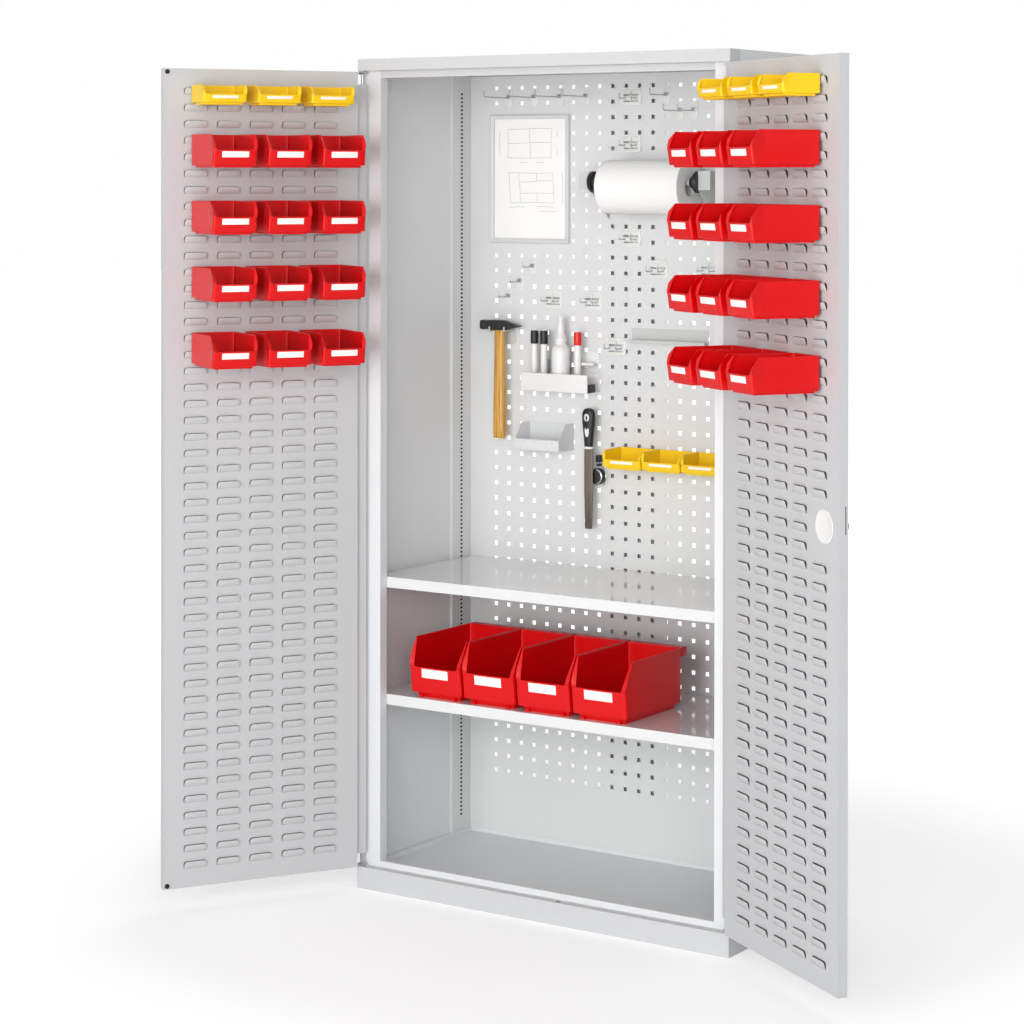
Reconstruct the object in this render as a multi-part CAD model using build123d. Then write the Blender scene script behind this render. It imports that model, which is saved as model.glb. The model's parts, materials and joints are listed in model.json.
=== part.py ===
from build123d import *
import math
import os

# Two-door steel tool cabinet. Millimetres, +Z up, -Y towards the person in front of it.
# The origin is the centre of the underside of the plinth.

# ---- cabinet body ----
cabinet_width = 1010.0
cabinet_height = 1975.0
cabinet_depth = 480.0
sheet = 1.2               # steel sheet of body, doors and shelves
fit = 0.3                 # gap between parts that slide past or drop into each other
plinth_height = 52.0
plinth_ledge = 30.0       # ledge at the front of the plinth, under the front frame
side_ledge = 12.0
floor_beam_width = 60.0
fascia_height = 28.0
fascia_return = 45.0      # how far the fascia wraps round the corners
stile_width = 50.0        # front frame, each side
stile_return = 26.0
top_rail_height = 17.0
floor_lip = 13.0          # upstand of the floor at the door opening
rear_flange = 28.0
floor_drop = 8.0          # floor below the top of the plinth

# ---- doors ----
door_thickness = 22.0
door_gap = 2.0            # door to front frame
door_clearance = 2.5      # round the doors and between them
hinge_inset = 8.0         # hinge axis from the outer side of the cabinet
hinge_depth = 7.0         # hinge axis behind the outer face of the door
hinge_step = 14.0         # thickness of the door at its hinge side
hinge_strip = 25.0        # width of that thinner strip
notch_height = 30.0
pin_diameter = 7.0
pin_play = 0.05
bush_wall = 2.25
bush_length = 25.0
bracket_height = 8.0
left_open = 121.0         # how far the doors stand open, degrees
right_open = 147.3

# ---- louvres of the door panels ----
louvre_width = 54.0
louvre_height = 16.0
louvre_lift = 6.0
louvre_slit = 1.2         # slit round the free edges of a louvre
louvre_columns = 5
louvre_column_pitch = 80.0
louvre_row_pitch = 38.0
louvre_rows = 48
louvre_first = 43.5       # lowest louvre above the lower edge of the door
louvre_centre = 260.0     # middle of the pattern from the hinge axis

# ---- perforated back panel ----
hole_pitch = 38.0
hole_size = 9.5
hole_columns = 23
hole_rows = 46
hole_first = 153.8        # lowest row above the floor rim
back_inset = 16.6         # panel in front of the rear flanges
stiffener_width = 150.0
stiffener_offset = -15.0
stiffener_lip = 18.0

# ---- shelves and their rails ----
rail_width_rear = 80.0
rail_width_front = 60.0
rail_depth = 8.0
slot_pitch = 10.0
slot_height = 5.0
slot_width = 10.0
slot_first = 39.3         # lowest slot above the floor rim
slot_count = 182
shelf_height = 25.0
shelf_slots = (34, 62)    # slot that each shelf hangs on, lower and upper
shelf_side_gap = 4.0
shelf_front_gap = 1.5     # shelf behind the front frame
clip_width = 16.0
clip_length = 17.0
clip_sheet = 2.0
clip_tab = 14.0

# ---- lock of the right door ----
lock_height = 940.0       # lock axis above the top of the plinth
lock_from_edge = 57.0     # lock axis from the meeting edge
cover_diameter = 70.0
cover_thickness = 1.6
rosette_diameter = 50.0
rosette_thickness = 5.0
grip_width = 15.0
grip_height = 46.0
grip_depth = 22.0
hub_diameter = 34.0
cylinder_diameter = 16.0
spindle_diameter = 10.0
cam_diameter = 44.0
cam_thickness = 2.0
cam_layer = 3.6           # cam behind the inner side of the outer skin
nose_reach = 67.0
nose_width = 14.0
rod_diameter = 8.0
rod_offset = 14.0         # drive pin of a rod from the lock axis
drive_plate = 2.4
drive_pin_diameter = 4.0
rod_hole_play = 2.0
guide_height = 18.0
guide_wall = 2.0

# ---- storage bins ----
small_bin_width = 106.0
small_bin_pitch = 132.0
small_bins = 3
red_depth = 160.0
red_height = 76.0
yellow_depth = 88.0
yellow_height = 46.0
bin_wall = 1.8
bin_foot = 7.0            # height of the narrower foot of a bin
bin_foot_inset = 8.0
hook_lip = 1.6
hook_drop = 7.0
hook_below_rim = 4.0
board_bin_pitch = 108.0
board_bins_first = 5.0    # middle of the first one
board_bins_foot = 940.8   # above the floor rim
large_bin_width = 146.0
large_bin_pitch = 151.5
large_bin_depth = 252.0
large_bin_ledge = 24.0    # ledge behind the back wall, at the rim
large_bin_foot_inset = 12.0
large_bin_foot = 15.0
large_bin_height = 140.0
large_bin_wall = 2.2
large_bins = 4
large_bins_centre = -90.5
large_bins_front = 1.5    # first edge of the large bins behind the shelf front
door_row_louvres = (47, 44, 40, 36, 32)   # louvre that each row of door bins hangs on
door_row_centre = 248.0

# ---- things on the back panel: columns and rows count holes from the left and from below ----
plate_thickness = 2.5
wire = 3.0
single_plate = (20.0, 46.0)
double_plate = (54.0, 44.0)
frame_width = 234.0
frame_height = 319.0
frame_bar = 11.0
frame_depth = 12.0
roll_length = 227.0
roll_diameter = 129.0
roll_core = 44.0
roll_stand = 81.0         # roll axis in front of the panel
axle_diameter = 20.0
axle_length = 298.0
roll_play = 0.3
end_disc_diameter = 50.0
end_disc_thickness = 8.0
roll_flange = 30.0
tray_width = 193.0
tray_depth = 62.0
tray_height = 44.0
pen_diameter = 17.0
pen_length = 144.0
bottle_width = 46.0
bottle_height = 182.0
hammer_length = 116.0
hammer_face = 25.0
hammer_handle_length = 294.0
handle_section = (34.0, 22.0)
hammer_stand = 34.0
file_length = 194.0
file_width = 24.0
file_thickness = 5.0
file_handle_length = 100.0
file_handle_width = 35.0
file_stand = 30.0
clip_ring = 40.0
ledge_width = 213.0
ledge_height = 36.0
ledge_depth = 20.0
scoop_width = 130.0
scoop_depth = 70.0
scoop_height = 64.0

# ---- places that follow from the sizes above ----
half_width = cabinet_width / 2
front = -cabinet_depth / 2
rear = cabinet_depth / 2
frame_y = front + door_thickness + door_gap
roof = cabinet_height - fascia_height
rim_top = plinth_height + sheet                   # sheet rim that the rails stand on
floor_top = plinth_height - floor_drop
panel_y = rear - sheet - back_inset - sheet       # front face of the perforated panel
inner_half = half_width - sheet
hinge_x = half_width - hinge_inset
hinge_y = front + hinge_depth
door_bottom = plinth_height + door_clearance
door_top = roof - door_clearance
meeting = door_clearance / 2
door_inner_y = front + door_thickness
lock_z = plinth_height + lock_height
lock_x = meeting + lock_from_edge
hole_left = -(hole_columns - 1) * hole_pitch / 2
hole_bottom = rim_top + hole_first
rail_face = inner_half - rail_depth


def box(x0, x1, y0, y1, z0, z1):
    return Pos((x0 + x1) / 2, (y0 + y1) / 2, (z0 + z1) / 2) * Box(abs(x1 - x0), abs(y1 - y0), abs(z1 - z0))


def rod(x, y, z0, z1, diameter):
    return Pos(x, y, (z0 + z1) / 2) * Cylinder(diameter / 2, abs(z1 - z0))


def rod_y(x, z, y0, y1, diameter):
    return Pos(x, (y0 + y1) / 2, z) * Rot(90, 0, 0) * Cylinder(diameter / 2, abs(y1 - y0))


def rod_x(y, z, x0, x1, diameter):
    return Pos((x0 + x1) / 2, y, z) * Rot(0, 90, 0) * Cylinder(diameter / 2, abs(x1 - x0))


def join(first, *others):
    return first.fuse(*others) if others else first


def mirrored(shape):
    return mirror(shape, about=Plane.YZ)


def hang(shape, side):
    # turns a piece of a closed door, drawn for the left side, to its place on the open door
    if side == "right":
        shape = mirrored(shape)
        return shape.rotate(Axis((hinge_x, hinge_y, 0), (0, 0, 1)), right_open)
    return shape.rotate(Axis((-hinge_x, hinge_y, 0), (0, 0, 1)), -left_open)


def holed_plate(width, height, centre, places, hole_width, hole_height, plane, thickness):
    # one face with all its openings, thickened once
    outer = (plane * Pos(*centre) * Rectangle(width, height)).face().outer_wire()
    inner = [(plane * Pos(a, b) * Rectangle(hole_width, hole_height)).face().outer_wire() for a, b in places]
    return extrude(Face(outer, inner), thickness, dir=plane.z_dir)


# ---------------- body ----------------

def side_panel():
    skin = box(-half_width, -inner_half, frame_y, rear, plinth_height, roof)
    stile = box(-half_width, -half_width + stile_width, frame_y, frame_y + sheet, plinth_height, roof)
    edge = -half_width + stile_width
    inner = box(edge - sheet, edge, frame_y, frame_y + stile_return, plinth_height, roof)
    back = box(-half_width, -half_width + rear_flange, rear - sheet, rear, plinth_height, roof)
    return join(skin, stile, inner, back)


def tray_roof(y0, y1, front_wall, rear_wall):
    outer = box(-half_width, half_width, y0, y1, roof, cabinet_height)
    hollow_front = y0 + sheet if front_wall else y0
    hollow_rear = y1 - sheet if rear_wall else y1
    return outer - box(-inner_half, inner_half, hollow_front, hollow_rear, roof, cabinet_height - sheet)


def top_cover():
    return tray_roof(front + fascia_return, rear, False, True)


def top_fascia():
    cap = tray_roof(front, front + fascia_return, True, False)
    ledge = box(-inner_half, inner_half, front + sheet, frame_y, roof, roof + sheet)
    hole = rod(lock_x, front + cam_rod_y(), roof, roof + sheet, rod_diameter + 2 * rod_hole_play)
    return join(cap, ledge) - hole


def top_rail():
    edge = half_width - stile_width
    bottom = roof - top_rail_height
    face = box(-edge, edge, frame_y, frame_y + sheet, bottom, roof)
    lower = box(-edge, edge, frame_y, frame_y + stile_return, bottom, bottom + sheet)
    upper = box(-edge, edge, frame_y, frame_y + stile_return, roof - sheet, roof)
    return join(face, lower, upper)


def plinth():
    outer = box(-half_width, half_width, front, rear, 0, plinth_height)
    under = box(-inner_half, inner_half, front + sheet, rear - sheet, 0, plinth_height - sheet)
    opening_half = half_width - side_ledge
    opening = box(-opening_half, opening_half, frame_y + plinth_ledge, panel_y, 0, plinth_height)
    hole = rod(lock_x, front + cam_rod_y(), 0, plinth_height, rod_diameter + 2 * rod_hole_play)
    return outer - under - opening - hole


def floor_beam():
    # channel on the ground that carries the middle of the floor
    half = floor_beam_width / 2
    y0, y1 = front + sheet, rear - sheet
    web = box(-half, half, y0, y1, 0, sheet)
    legs = [box(x, x + sheet, y0, y1, 0, floor_top - sheet) for x in (-half, half - sheet)]
    return join(web, *legs)


def floor_pan():
    # rim on the plinth's ledge, and a shallow tray that drops into its opening
    behind = frame_y + stile_return + fit
    between = half_width - stile_width - fit
    rim = box(-inner_half + fit, inner_half - fit, behind, panel_y, plinth_height, rim_top)
    tongue = box(-between, between, frame_y, behind, plinth_height, rim_top)
    lip_top = rim_top + floor_lip
    lip = box(-between, between, frame_y, frame_y + sheet, rim_top, lip_top)
    fold = box(-between, between, frame_y, frame_y + floor_lip, lip_top - sheet, lip_top)
    half = half_width - side_ledge - fit
    y0, y1 = frame_y + plinth_ledge + fit, panel_y - fit
    tray = box(-half, half, y0, y1, floor_top - sheet, rim_top)
    hollow = box(-half + sheet, half - sheet, y0 + sheet, y1 - sheet, floor_top, rim_top)
    return join(rim, tongue, lip, fold, tray) - hollow


def back_panel():
    places = [
        (hole_left + column * hole_pitch, hole_bottom + row * hole_pitch)
        for column in range(hole_columns) for row in range(hole_rows)
    ]
    width = 2 * (inner_half - fit)
    height = roof - plinth_height
    plane = Plane(origin=(0, panel_y + sheet, 0), x_dir=(1, 0, 0), z_dir=(0, -1, 0))
    middle = (0, plinth_height + height / 2)
    plate = holed_plate(width, height, middle, places, hole_size, hole_size, plane, sheet)
    edge = width / 2
    y0, y1 = panel_y + sheet, rear - sheet
    rims = [
        box(-edge, -edge + sheet, y0, y1, plinth_height, roof),
        box(edge - sheet, edge, y0, y1, plinth_height, roof),
        box(-edge, edge, y0, y1, plinth_height, plinth_height + sheet),
        box(-edge, edge, y0, y1, roof - sheet, roof),
    ]
    return join(plate, *rims)


def back_stiffener():
    z0, z1 = rim_top + fit, roof - sheet - fit
    y0, y1 = panel_y + sheet, rear - sheet
    x0 = stiffener_offset - stiffener_width / 2
    x1 = stiffener_offset + stiffener_width / 2
    web = box(x0, x1, y1 - sheet, y1, z0, z1)
    left = box(x0, x0 + sheet, y0, y1, z0, z1)
    right = box(x1 - sheet, x1, y0, y1, z0, z1)
    left_foot = box(x0 - stiffener_lip, x0 + sheet, y0, y0 + sheet, z0, z1)
    right_foot = box(x1 - sheet, x1 + stiffener_lip, y0, y0 + sheet, z0, z1)
    return join(web, left, right, left_foot, right_foot)


def slot_z(index):
    return rim_top + slot_first + index * slot_pitch


def shelf_rail(y0, y1):
    # channel on the left wall with a column of slots
    z0, z1 = rim_top, roof
    middle = (y0 + y1) / 2
    places = [(middle, slot_z(i)) for i in range(slot_count)]
    plane = Plane(origin=(-rail_face - sheet, 0, 0), x_dir=(0, 1, 0), z_dir=(1, 0, 0))
    face = holed_plate(y1 - y0, z1 - z0, (middle, (z0 + z1) / 2), places, slot_width, slot_height, plane, sheet)
    legs = [
        box(-inner_half, -rail_face - sheet, y0, y0 + sheet, z0, z1),
        box(-inner_half, -rail_face - sheet, y1 - sheet, y1, z0, z1),
    ]
    return join(face, *legs)


def rail_span(where):
    if where == "front":
        start = frame_y + stile_return + fit
        return start, start + rail_width_front
    return panel_y - rail_width_rear, panel_y


def shelf_rails():
    left = [shelf_rail(*rail_span("front")), shelf_rail(*rail_span("rear"))]
    return Compound(children=left + [mirrored(piece) for piece in left])


def shelf_bottom(slot):
    return slot_z(slot) + slot_height / 2


def shelf(slot):
    half = rail_face - shelf_side_gap
    y0 = frame_y + stile_return + shelf_front_gap
    y1 = panel_y - fit
    z0 = shelf_bottom(slot)
    z1 = z0 + shelf_height
    outer = box(-half, half, y0, y1, z0, z1)
    hollow = box(-half + sheet, half - sheet, y0 + sheet, y1 - sheet, z0, z1 - sheet)
    lip = 12.0
    fold = box(-half + sheet, half - sheet, y0 + sheet, y0 + lip, z0, z0 + sheet)
    return join(outer - hollow, fold)


def shelf_clip(y, z):
    # the peg goes into a slot of the rail, and the arm carries the shelf
    arm = box(-rail_face, -rail_face + clip_length, y - clip_width / 2, y + clip_width / 2, z - clip_sheet, z)
    tab = box(-rail_face, -rail_face + clip_sheet, y - clip_width / 2, y + clip_width / 2, z - clip_tab, z)
    peg_half = slot_width / 2 - fit
    peg_z = z - slot_height / 2
    peg_low = peg_z - slot_height / 2 + fit
    peg = box(-rail_face - 2 * sheet, -rail_face, y - peg_half, y + peg_half, peg_low, z - fit)
    return join(arm, tab, peg)


def shelf_clips():
    pieces = []
    for slot in shelf_slots:
        for where in ("front", "rear"):
            middle = sum(rail_span(where)) / 2
            clip = shelf_clip(middle, shelf_bottom(slot))
            pieces += [clip, mirrored(clip)]
    return Compound(children=pieces)


# ---------------- doors, drawn closed and on the left ----------------

def notch(bottom, top):
    return box(-half_width, -half_width + hinge_strip, front, door_inner_y, bottom, top)


def door_shell():
    x0, x1 = -half_width, -meeting
    y0, y1 = front, door_inner_y
    step = -half_width + hinge_strip
    step_y = front + hinge_step
    outer = box(x0, x1, y0, y1, door_bottom, door_top)
    thin = box(x0, step, step_y, y1, door_bottom, door_top)
    inside = box(step, x1 - sheet, y0 + sheet, y1, door_bottom + sheet, door_top - sheet)
    low = door_bottom + notch_height + sheet
    high = door_top - notch_height - sheet
    hinge_hollow = box(x0 + sheet, step, y0 + sheet, step_y - sheet, low, high)
    riser = box(step, step + sheet, y0 + hinge_step - sheet, y1, door_bottom + sheet, door_top - sheet)
    shell = outer - thin - inside - hinge_hollow
    shell = join(shell, riser)
    shell = shell - notch(door_bottom, door_bottom + notch_height) - notch(door_top - notch_height, door_top)
    for z in (door_bottom + notch_height, door_top - notch_height):
        bore = pin_diameter + 2 * bush_wall
        shell = shell - rod(-hinge_x, hinge_y, z - sheet, z + sheet, bore)
    return shell


def bolt_slot():
    # opening in the meeting edge that the lock's nose swings through
    below, above = nose_width * 0.8, 46.0
    y0 = front + sheet + cam_layer - fit
    y1 = y0 + cam_thickness + 2 * fit
    return box(-meeting - 2 * sheet, -meeting, y0, y1, lock_z - below, lock_z + above)


def rod_ports():
    reach = rod_diameter + 2 * rod_hole_play
    ports = [
        rod(-lock_x, front + cam_rod_y(), door_bottom, door_bottom + sheet, reach),
        rod(-lock_x, front + cam_rod_y(), door_top - sheet, door_top, reach),
    ]
    spindle = rod_y(-lock_x, lock_z, front, front + sheet, spindle_diameter + 2 * fit)
    return ports + [spindle]


def louvre_places():
    middle = -hinge_x + louvre_centre
    columns = [middle + (i - (louvre_columns - 1) / 2) * louvre_column_pitch for i in range(louvre_columns)]
    rows = [door_bottom + louvre_first + i * louvre_row_pitch for i in range(louvre_rows)]
    return [(x, z) for x in columns for z in rows]


def louvre_tongue(x, z):
    # lanced tongue: joined to the panel along its lower edge, and lifted at the top
    y = door_inner_y
    outline = Polyline(
        (y - sheet, z - sheet), (y, z - sheet), (y + louvre_lift, z + louvre_height),
        (y + louvre_lift - sheet, z + louvre_height), (y - sheet, z), close=True,
    )
    profile = make_face(Plane.YZ * outline)
    return extrude(Pos(x - louvre_width / 2, 0, 0) * profile, louvre_width, dir=(1, 0, 0))


def louvre_panel(side):
    x0 = -half_width + hinge_strip + sheet
    x1 = -meeting - sheet
    z0, z1 = door_bottom + sheet, door_top - sheet
    places = louvre_places()
    if side == "right":
        places = [(x, z) for x, z in places if not near_cover(x, z)]
    opening_width = louvre_width + 2 * louvre_slit
    opening_height = louvre_height + louvre_slit
    windows = [(x, z + opening_height / 2) for x, z in places]
    plane = Plane(origin=(0, door_inner_y, 0), x_dir=(-1, 0, 0), z_dir=(0, 1, 0))
    windows = [(-x, z) for x, z in windows]
    middle = (-(x0 + x1) / 2, (z0 + z1) / 2)
    plate = holed_plate(x1 - x0, z1 - z0, middle, windows, opening_width, opening_height, plane, -sheet)
    return join(plate, *[louvre_tongue(x, z) for x, z in places])


def near_cover(x, z):
    reach_x = cover_diameter / 2 + louvre_width / 2
    reach_z = cover_diameter / 2 + louvre_height
    return abs(x + lock_x) < reach_x and abs(z + louvre_height / 2 - lock_z) < reach_z


def door_bushes():
    outer = pin_diameter + 2 * bush_wall
    inner = pin_diameter + 2 * pin_play
    pieces = []
    for z0 in (door_bottom + notch_height, door_top - notch_height - bush_length):
        tube = rod(-hinge_x, hinge_y, z0, z0 + bush_length, outer)
        pieces.append(tube - rod(-hinge_x, hinge_y, z0, z0 + bush_length, inner))
    return pieces


def hinge_pivots():
    # a block on the body at each corner, with the pin that the door's bush turns on
    pieces = []
    ends = [
        (plinth_height, plinth_height + bracket_height, door_bottom + notch_height + bush_length - fit),
        (roof, roof - bracket_height, door_top - notch_height - bush_length + fit),
    ]
    for base, shoulder, tip in ends:
        x0, x1 = -hinge_x - hinge_inset + 1.0, -hinge_x + hinge_inset
        block = box(x0, x1, hinge_y - hinge_depth + 1.0, hinge_y + hinge_depth, base, shoulder)
        pieces.append(join(block, rod(-hinge_x, hinge_y, base, tip, pin_diameter)))
    return Compound(children=pieces + [mirrored(piece) for piece in pieces])


def door_buffers():
    size, inset = 11.0, 8.0
    x = -meeting - inset
    y0 = door_inner_y
    y1 = frame_y - fit
    return [rod_y(x, z, y0, y1, size) for z in (door_bottom + inset, door_top - inset)]


# ---------------- lock, drawn on the closed left side and mirrored to the right ----------------

def cam_rod_y():
    # middle of the rods behind the outer face of the door
    return sheet + cam_layer + cam_thickness + fit + rod_diameter / 2


def lock_cover():
    return rod_y(-lock_x, lock_z, door_inner_y, door_inner_y + cover_thickness, cover_diameter)


def handle_rosette():
    disc = rod_y(-lock_x, lock_z, front - rosette_thickness, front, rosette_diameter)
    return disc - rod_y(-lock_x, lock_z, front - rosette_thickness, front, spindle_diameter + 2 * fit)


def turn_handle():
    face = front - rosette_thickness - fit
    hub = rod_y(-lock_x, lock_z, face - grip_depth, face, hub_diameter)
    half = grip_width / 2
    grip = box(-lock_x - half, -lock_x + half, face - grip_depth, face - fit,
               lock_z - grip_height / 2, lock_z + grip_height / 2)
    spindle = rod_y(-lock_x, lock_z, face, front + sheet + cam_layer, spindle_diameter)
    bore_depth = 16.0
    bore = rod_y(-lock_x, lock_z, face - grip_depth, face - grip_depth + bore_depth,
                 cylinder_diameter + 2 * pin_play)
    return join(hub, grip, spindle) - bore


def lock_cylinder():
    face = front - rosette_thickness - fit - grip_depth
    depth = 15.5
    plug = rod_y(-lock_x, lock_z, face, face + depth, cylinder_diameter)
    key_slot = box(-lock_x - 0.7, -lock_x + 0.7, face, face + 9.0, lock_z - 4.0, lock_z + 4.0)
    return plug - key_slot


def rod_layer(direction):
    # the drive plates of the two rods lie one behind the other
    y0 = front + sheet + cam_layer + cam_thickness + fit
    if direction < 0:
        y0 += drive_plate + fit
    return y0, y0 + drive_plate


def lock_cam():
    y0 = front + sheet + cam_layer
    y1 = y0 + cam_thickness
    disc = rod_y(-lock_x, lock_z, y0, y1, cam_diameter)
    nose = box(-lock_x - nose_width / 2, -lock_x + nose_width / 2, y0, y1, lock_z, lock_z + nose_reach)
    ends = ((-1, rod_layer(1)[1]), (1, rod_layer(-1)[1]))
    pins = [rod_y(-lock_x + side * rod_offset, lock_z, y1, end, drive_pin_diameter) for side, end in ends]
    return join(disc, nose, *pins)


def lock_rod(direction):
    # drive plate with a window for the cam's pin, and the rod that runs to the edge of the door;
    # the window is taller than the pin because the pin runs on a circle
    y0, y1 = rod_layer(direction)
    side = -direction
    pin = drive_pin_diameter / 2
    window_half = rod_offset * (math.sin(math.pi / 4) - 0.5) + pin + 2 * fit
    window = sorted((-lock_x - side * (pin + fit), -lock_x + side * (rod_offset + pin + fit)))
    bar = 3.0
    plate = box(window[0] - bar, window[1] + bar, y0, y1, lock_z - window_half - bar, lock_z + window_half + bar)
    plate = plate - box(window[0], window[1], y0, y1, lock_z - window_half, lock_z + window_half)
    z0 = lock_z + direction * (window_half + bar)
    z1 = lock_z + direction * (window_half + bar + 12.0)
    half = rod_diameter / 2
    link = box(-lock_x - half, -lock_x + half, y0, y1, z0, z1 + direction * 20.0)
    tip = door_top if direction > 0 else door_bottom
    shaft = rod(-lock_x, front + cam_rod_y(), z1, tip, rod_diameter)
    return join(plate, link, shaft)


def rod_guides():
    pieces = []
    y = front + cam_rod_y()
    half = rod_diameter / 2 + fit + guide_wall
    bore = rod_diameter + 2 * pin_play
    for z in (door_bottom + 60.0, lock_z - 300.0, lock_z + 300.0, door_top - 60.0):
        z0, z1 = z - guide_height / 2, z + guide_height / 2
        block = box(-lock_x - half, -lock_x + half, front + sheet, y + half, z0, z1)
        pieces.append(block - rod(-lock_x, y, z0, z1, bore))
    return pieces


# ---------------- bins ----------------

def storage_bin(width, depth, height, wall, foot, inset):
    # stands at z = 0 with its back wall on y = 0, and opens towards +y
    lean = depth * 0.035
    low = height * 0.53
    slant = height * 0.14
    outline = [(0, 0), (depth - lean, 0), (depth, low), (depth - slant, height), (0, height)]
    shape = extrude(make_face(Plane.YZ * Polyline(*outline, close=True)), width / 2, both=True)
    hollow = [
        (wall, foot), (depth - lean - wall, foot), (depth - wall, low),
        (depth - wall, height + wall), (wall, height + wall),
    ]
    cut = extrude(make_face(Plane.YZ * Polyline(*hollow, close=True)), width / 2 - wall, both=True)
    foot_half = width / 2 - inset
    lower = box(-foot_half + wall, foot_half - wall, wall, depth - lean - wall - 1.0, wall, foot)
    shape = shape - cut - lower
    for side in (-1, 1):
        x0, x1 = side * foot_half, side * width / 2
        shape = shape - box(x0, x1, 0, depth, 0, foot - wall)
    return shape


def hook(width, height, stand):
    # flange and lip on the back wall, a little below the rim
    top = height - hook_below_rim
    flange = box(-width / 2, width / 2, -stand, 0, top - hook_lip, top)
    lip = box(-width / 2, width / 2, -stand, -stand + hook_lip, top - hook_drop, top)
    return [flange, lip]


def small_bin(kind, stand):
    depth, height = (red_depth, red_height) if kind == "red" else (yellow_depth, yellow_height)
    width = small_bin_width
    return join(storage_bin(width, depth, height, bin_wall, bin_foot, bin_foot_inset), *hook(width - 16.0, height, stand))


def door_bin_row(row):
    kind = "yellow" if row == 0 else "red"
    height = yellow_height if kind == "yellow" else red_height
    stand = louvre_lift + 1.0 - fit
    body = small_bin(kind, stand)
    louvre_top = door_bottom + louvre_first + door_row_louvres[row] * louvre_row_pitch + louvre_height
    z = louvre_top + fit - (height - hook_below_rim - hook_lip)
    y = door_inner_y + stand + fit
    middle = -hinge_x + door_row_centre
    return [Pos(middle + (i - (small_bins - 1) / 2) * small_bin_pitch, y, z) * body for i in range(small_bins)]


def board_bins():
    stand = 5.0
    body = Rot(0, 0, 180) * small_bin("yellow", stand)
    z = rim_top + board_bins_foot
    return [Pos(board_bins_first + i * board_bin_pitch, panel_y - stand, z) * body for i in range(small_bins)]


def large_bin(index):
    x = large_bins_centre + (index - (large_bins - 1) / 2) * large_bin_pitch
    y = frame_y + stile_return + shelf_front_gap + large_bins_front + large_bin_depth
    z = shelf_bottom(shelf_slots[0]) + shelf_height
    width, height, wall = large_bin_width, large_bin_height, large_bin_wall
    body = storage_bin(width, large_bin_depth, height, wall, large_bin_foot, large_bin_foot_inset)
    back = -large_bin_ledge
    flange = box(-width / 2, width / 2, back, 0, height - wall, height)
    lip = box(-width / 2, width / 2, back, back + wall, height - 22.0, height)
    return Pos(x, y, z) * Rot(0, 0, 180) * join(body, flange, lip)


# ---------------- things on the perforated panel ----------------

def hole_x(column):
    return hole_left + column * hole_pitch


def hole_z(row):
    return hole_bottom + row * hole_pitch


def plate_on_board(x, z, width, height):
    y0 = panel_y - plate_thickness
    body = box(x - width / 2, x + width / 2, y0, panel_y, z - height / 2, z + height / 2)
    return fillet(body.edges().filter_by(Axis.Y), min(width, height) * 0.2)


def hook_wire(x, z, length, rise):
    # square-ended stem that turns up at its tip
    y0 = panel_y - plate_thickness
    half = wire / 2
    stem = rod_y(x, z, y0 - length, y0, wire)
    tip = box(x - half, x + half, y0 - length, y0 - length + wire, z - half, z + rise)
    return join(stem, tip)


def single_hooks():
    top = hole_rows - 1.65
    places = [(1, top, 112.0), (3, top, 112.0), (5, top, 112.0), (7, top, 112.0), (13, top, 80.0),
              (14, top - 1.0, 80.0), (15, top - 1.0, 80.0),
              (2.9, 33.3, 46.0), (1.9, 32.3, 46.0), (1, 31.3, 46.0)]
    pieces = []
    for column, row, length in places:
        x, z = hole_x(column), hole_z(row)
        pieces.append(join(plate_on_board(x, z, *single_plate), hook_wire(x, z, length, 15.0)))
    return pieces


def double_hooks():
    places = [(10.4, 44.3), (10.4, 41.3), (10.4, 35.3), (12.4, 33.3), (16.1, 33.4), (14.3, 32.5),
              (4.5, 31.2), (7.5, 31.2), (9.3, 28.3)]
    pieces = []
    for column, row in places:
        x, z = hole_x(column), hole_z(row)
        plate = plate_on_board(x, z, *double_plate)
        arms = [hook_wire(x + side * 16.0, z - 4.0, 32.0, 12.0) for side in (-1, 1)]
        pieces.append(join(plate, *arms))
    return pieces


def hammer_z():
    return hole_z(29.45)


def hammer_x():
    return hole_x(0.87)


def hammer_y():
    return panel_y - hammer_stand


def hammer_hook():
    # two arms under the hammer's head, one each side of its handle
    x = hammer_x()
    z = hammer_z() - hammer_face / 2 - 14.0
    plate = plate_on_board(x, z, *double_plate)
    reach = hammer_stand + hammer_face / 2
    top = hammer_z() - hammer_face / 2 - fit
    arms = []
    for side in (-1, 1):
        arm_x = x + side * 22.0
        arms.append(box(arm_x - wire / 2, arm_x + wire / 2, panel_y - reach - wire, panel_y - plate_thickness,
                        top - wire, top))
        arms.append(box(arm_x - wire / 2, arm_x + wire / 2, panel_y - reach - wire, panel_y - reach,
                        top, top + 9.0))
    return join(plate, *arms)


def hammer_head():
    x, y, z = hammer_x(), hammer_y(), hammer_z()
    half = hammer_face / 2
    block = box(x - 54.0, x + 20.0, y - half, y + half, z - half, z + half)
    wedge = [(x + 20.0, z + half), (x + 60.0, z - 1.0), (x + 60.0, z - 4.0), (x + 20.0, z - half)]
    pein = extrude(make_face(Plane.XZ * Polyline(*wedge, close=True)), half, both=True)
    head = join(block, Pos(0, y, 0) * pein)
    eye = box(x - handle_section[0] / 2 + 3.0, x + handle_section[0] / 2 - 3.0,
              y - 7.0, y + 7.0, z - half, z + half)
    return head - eye


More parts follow.
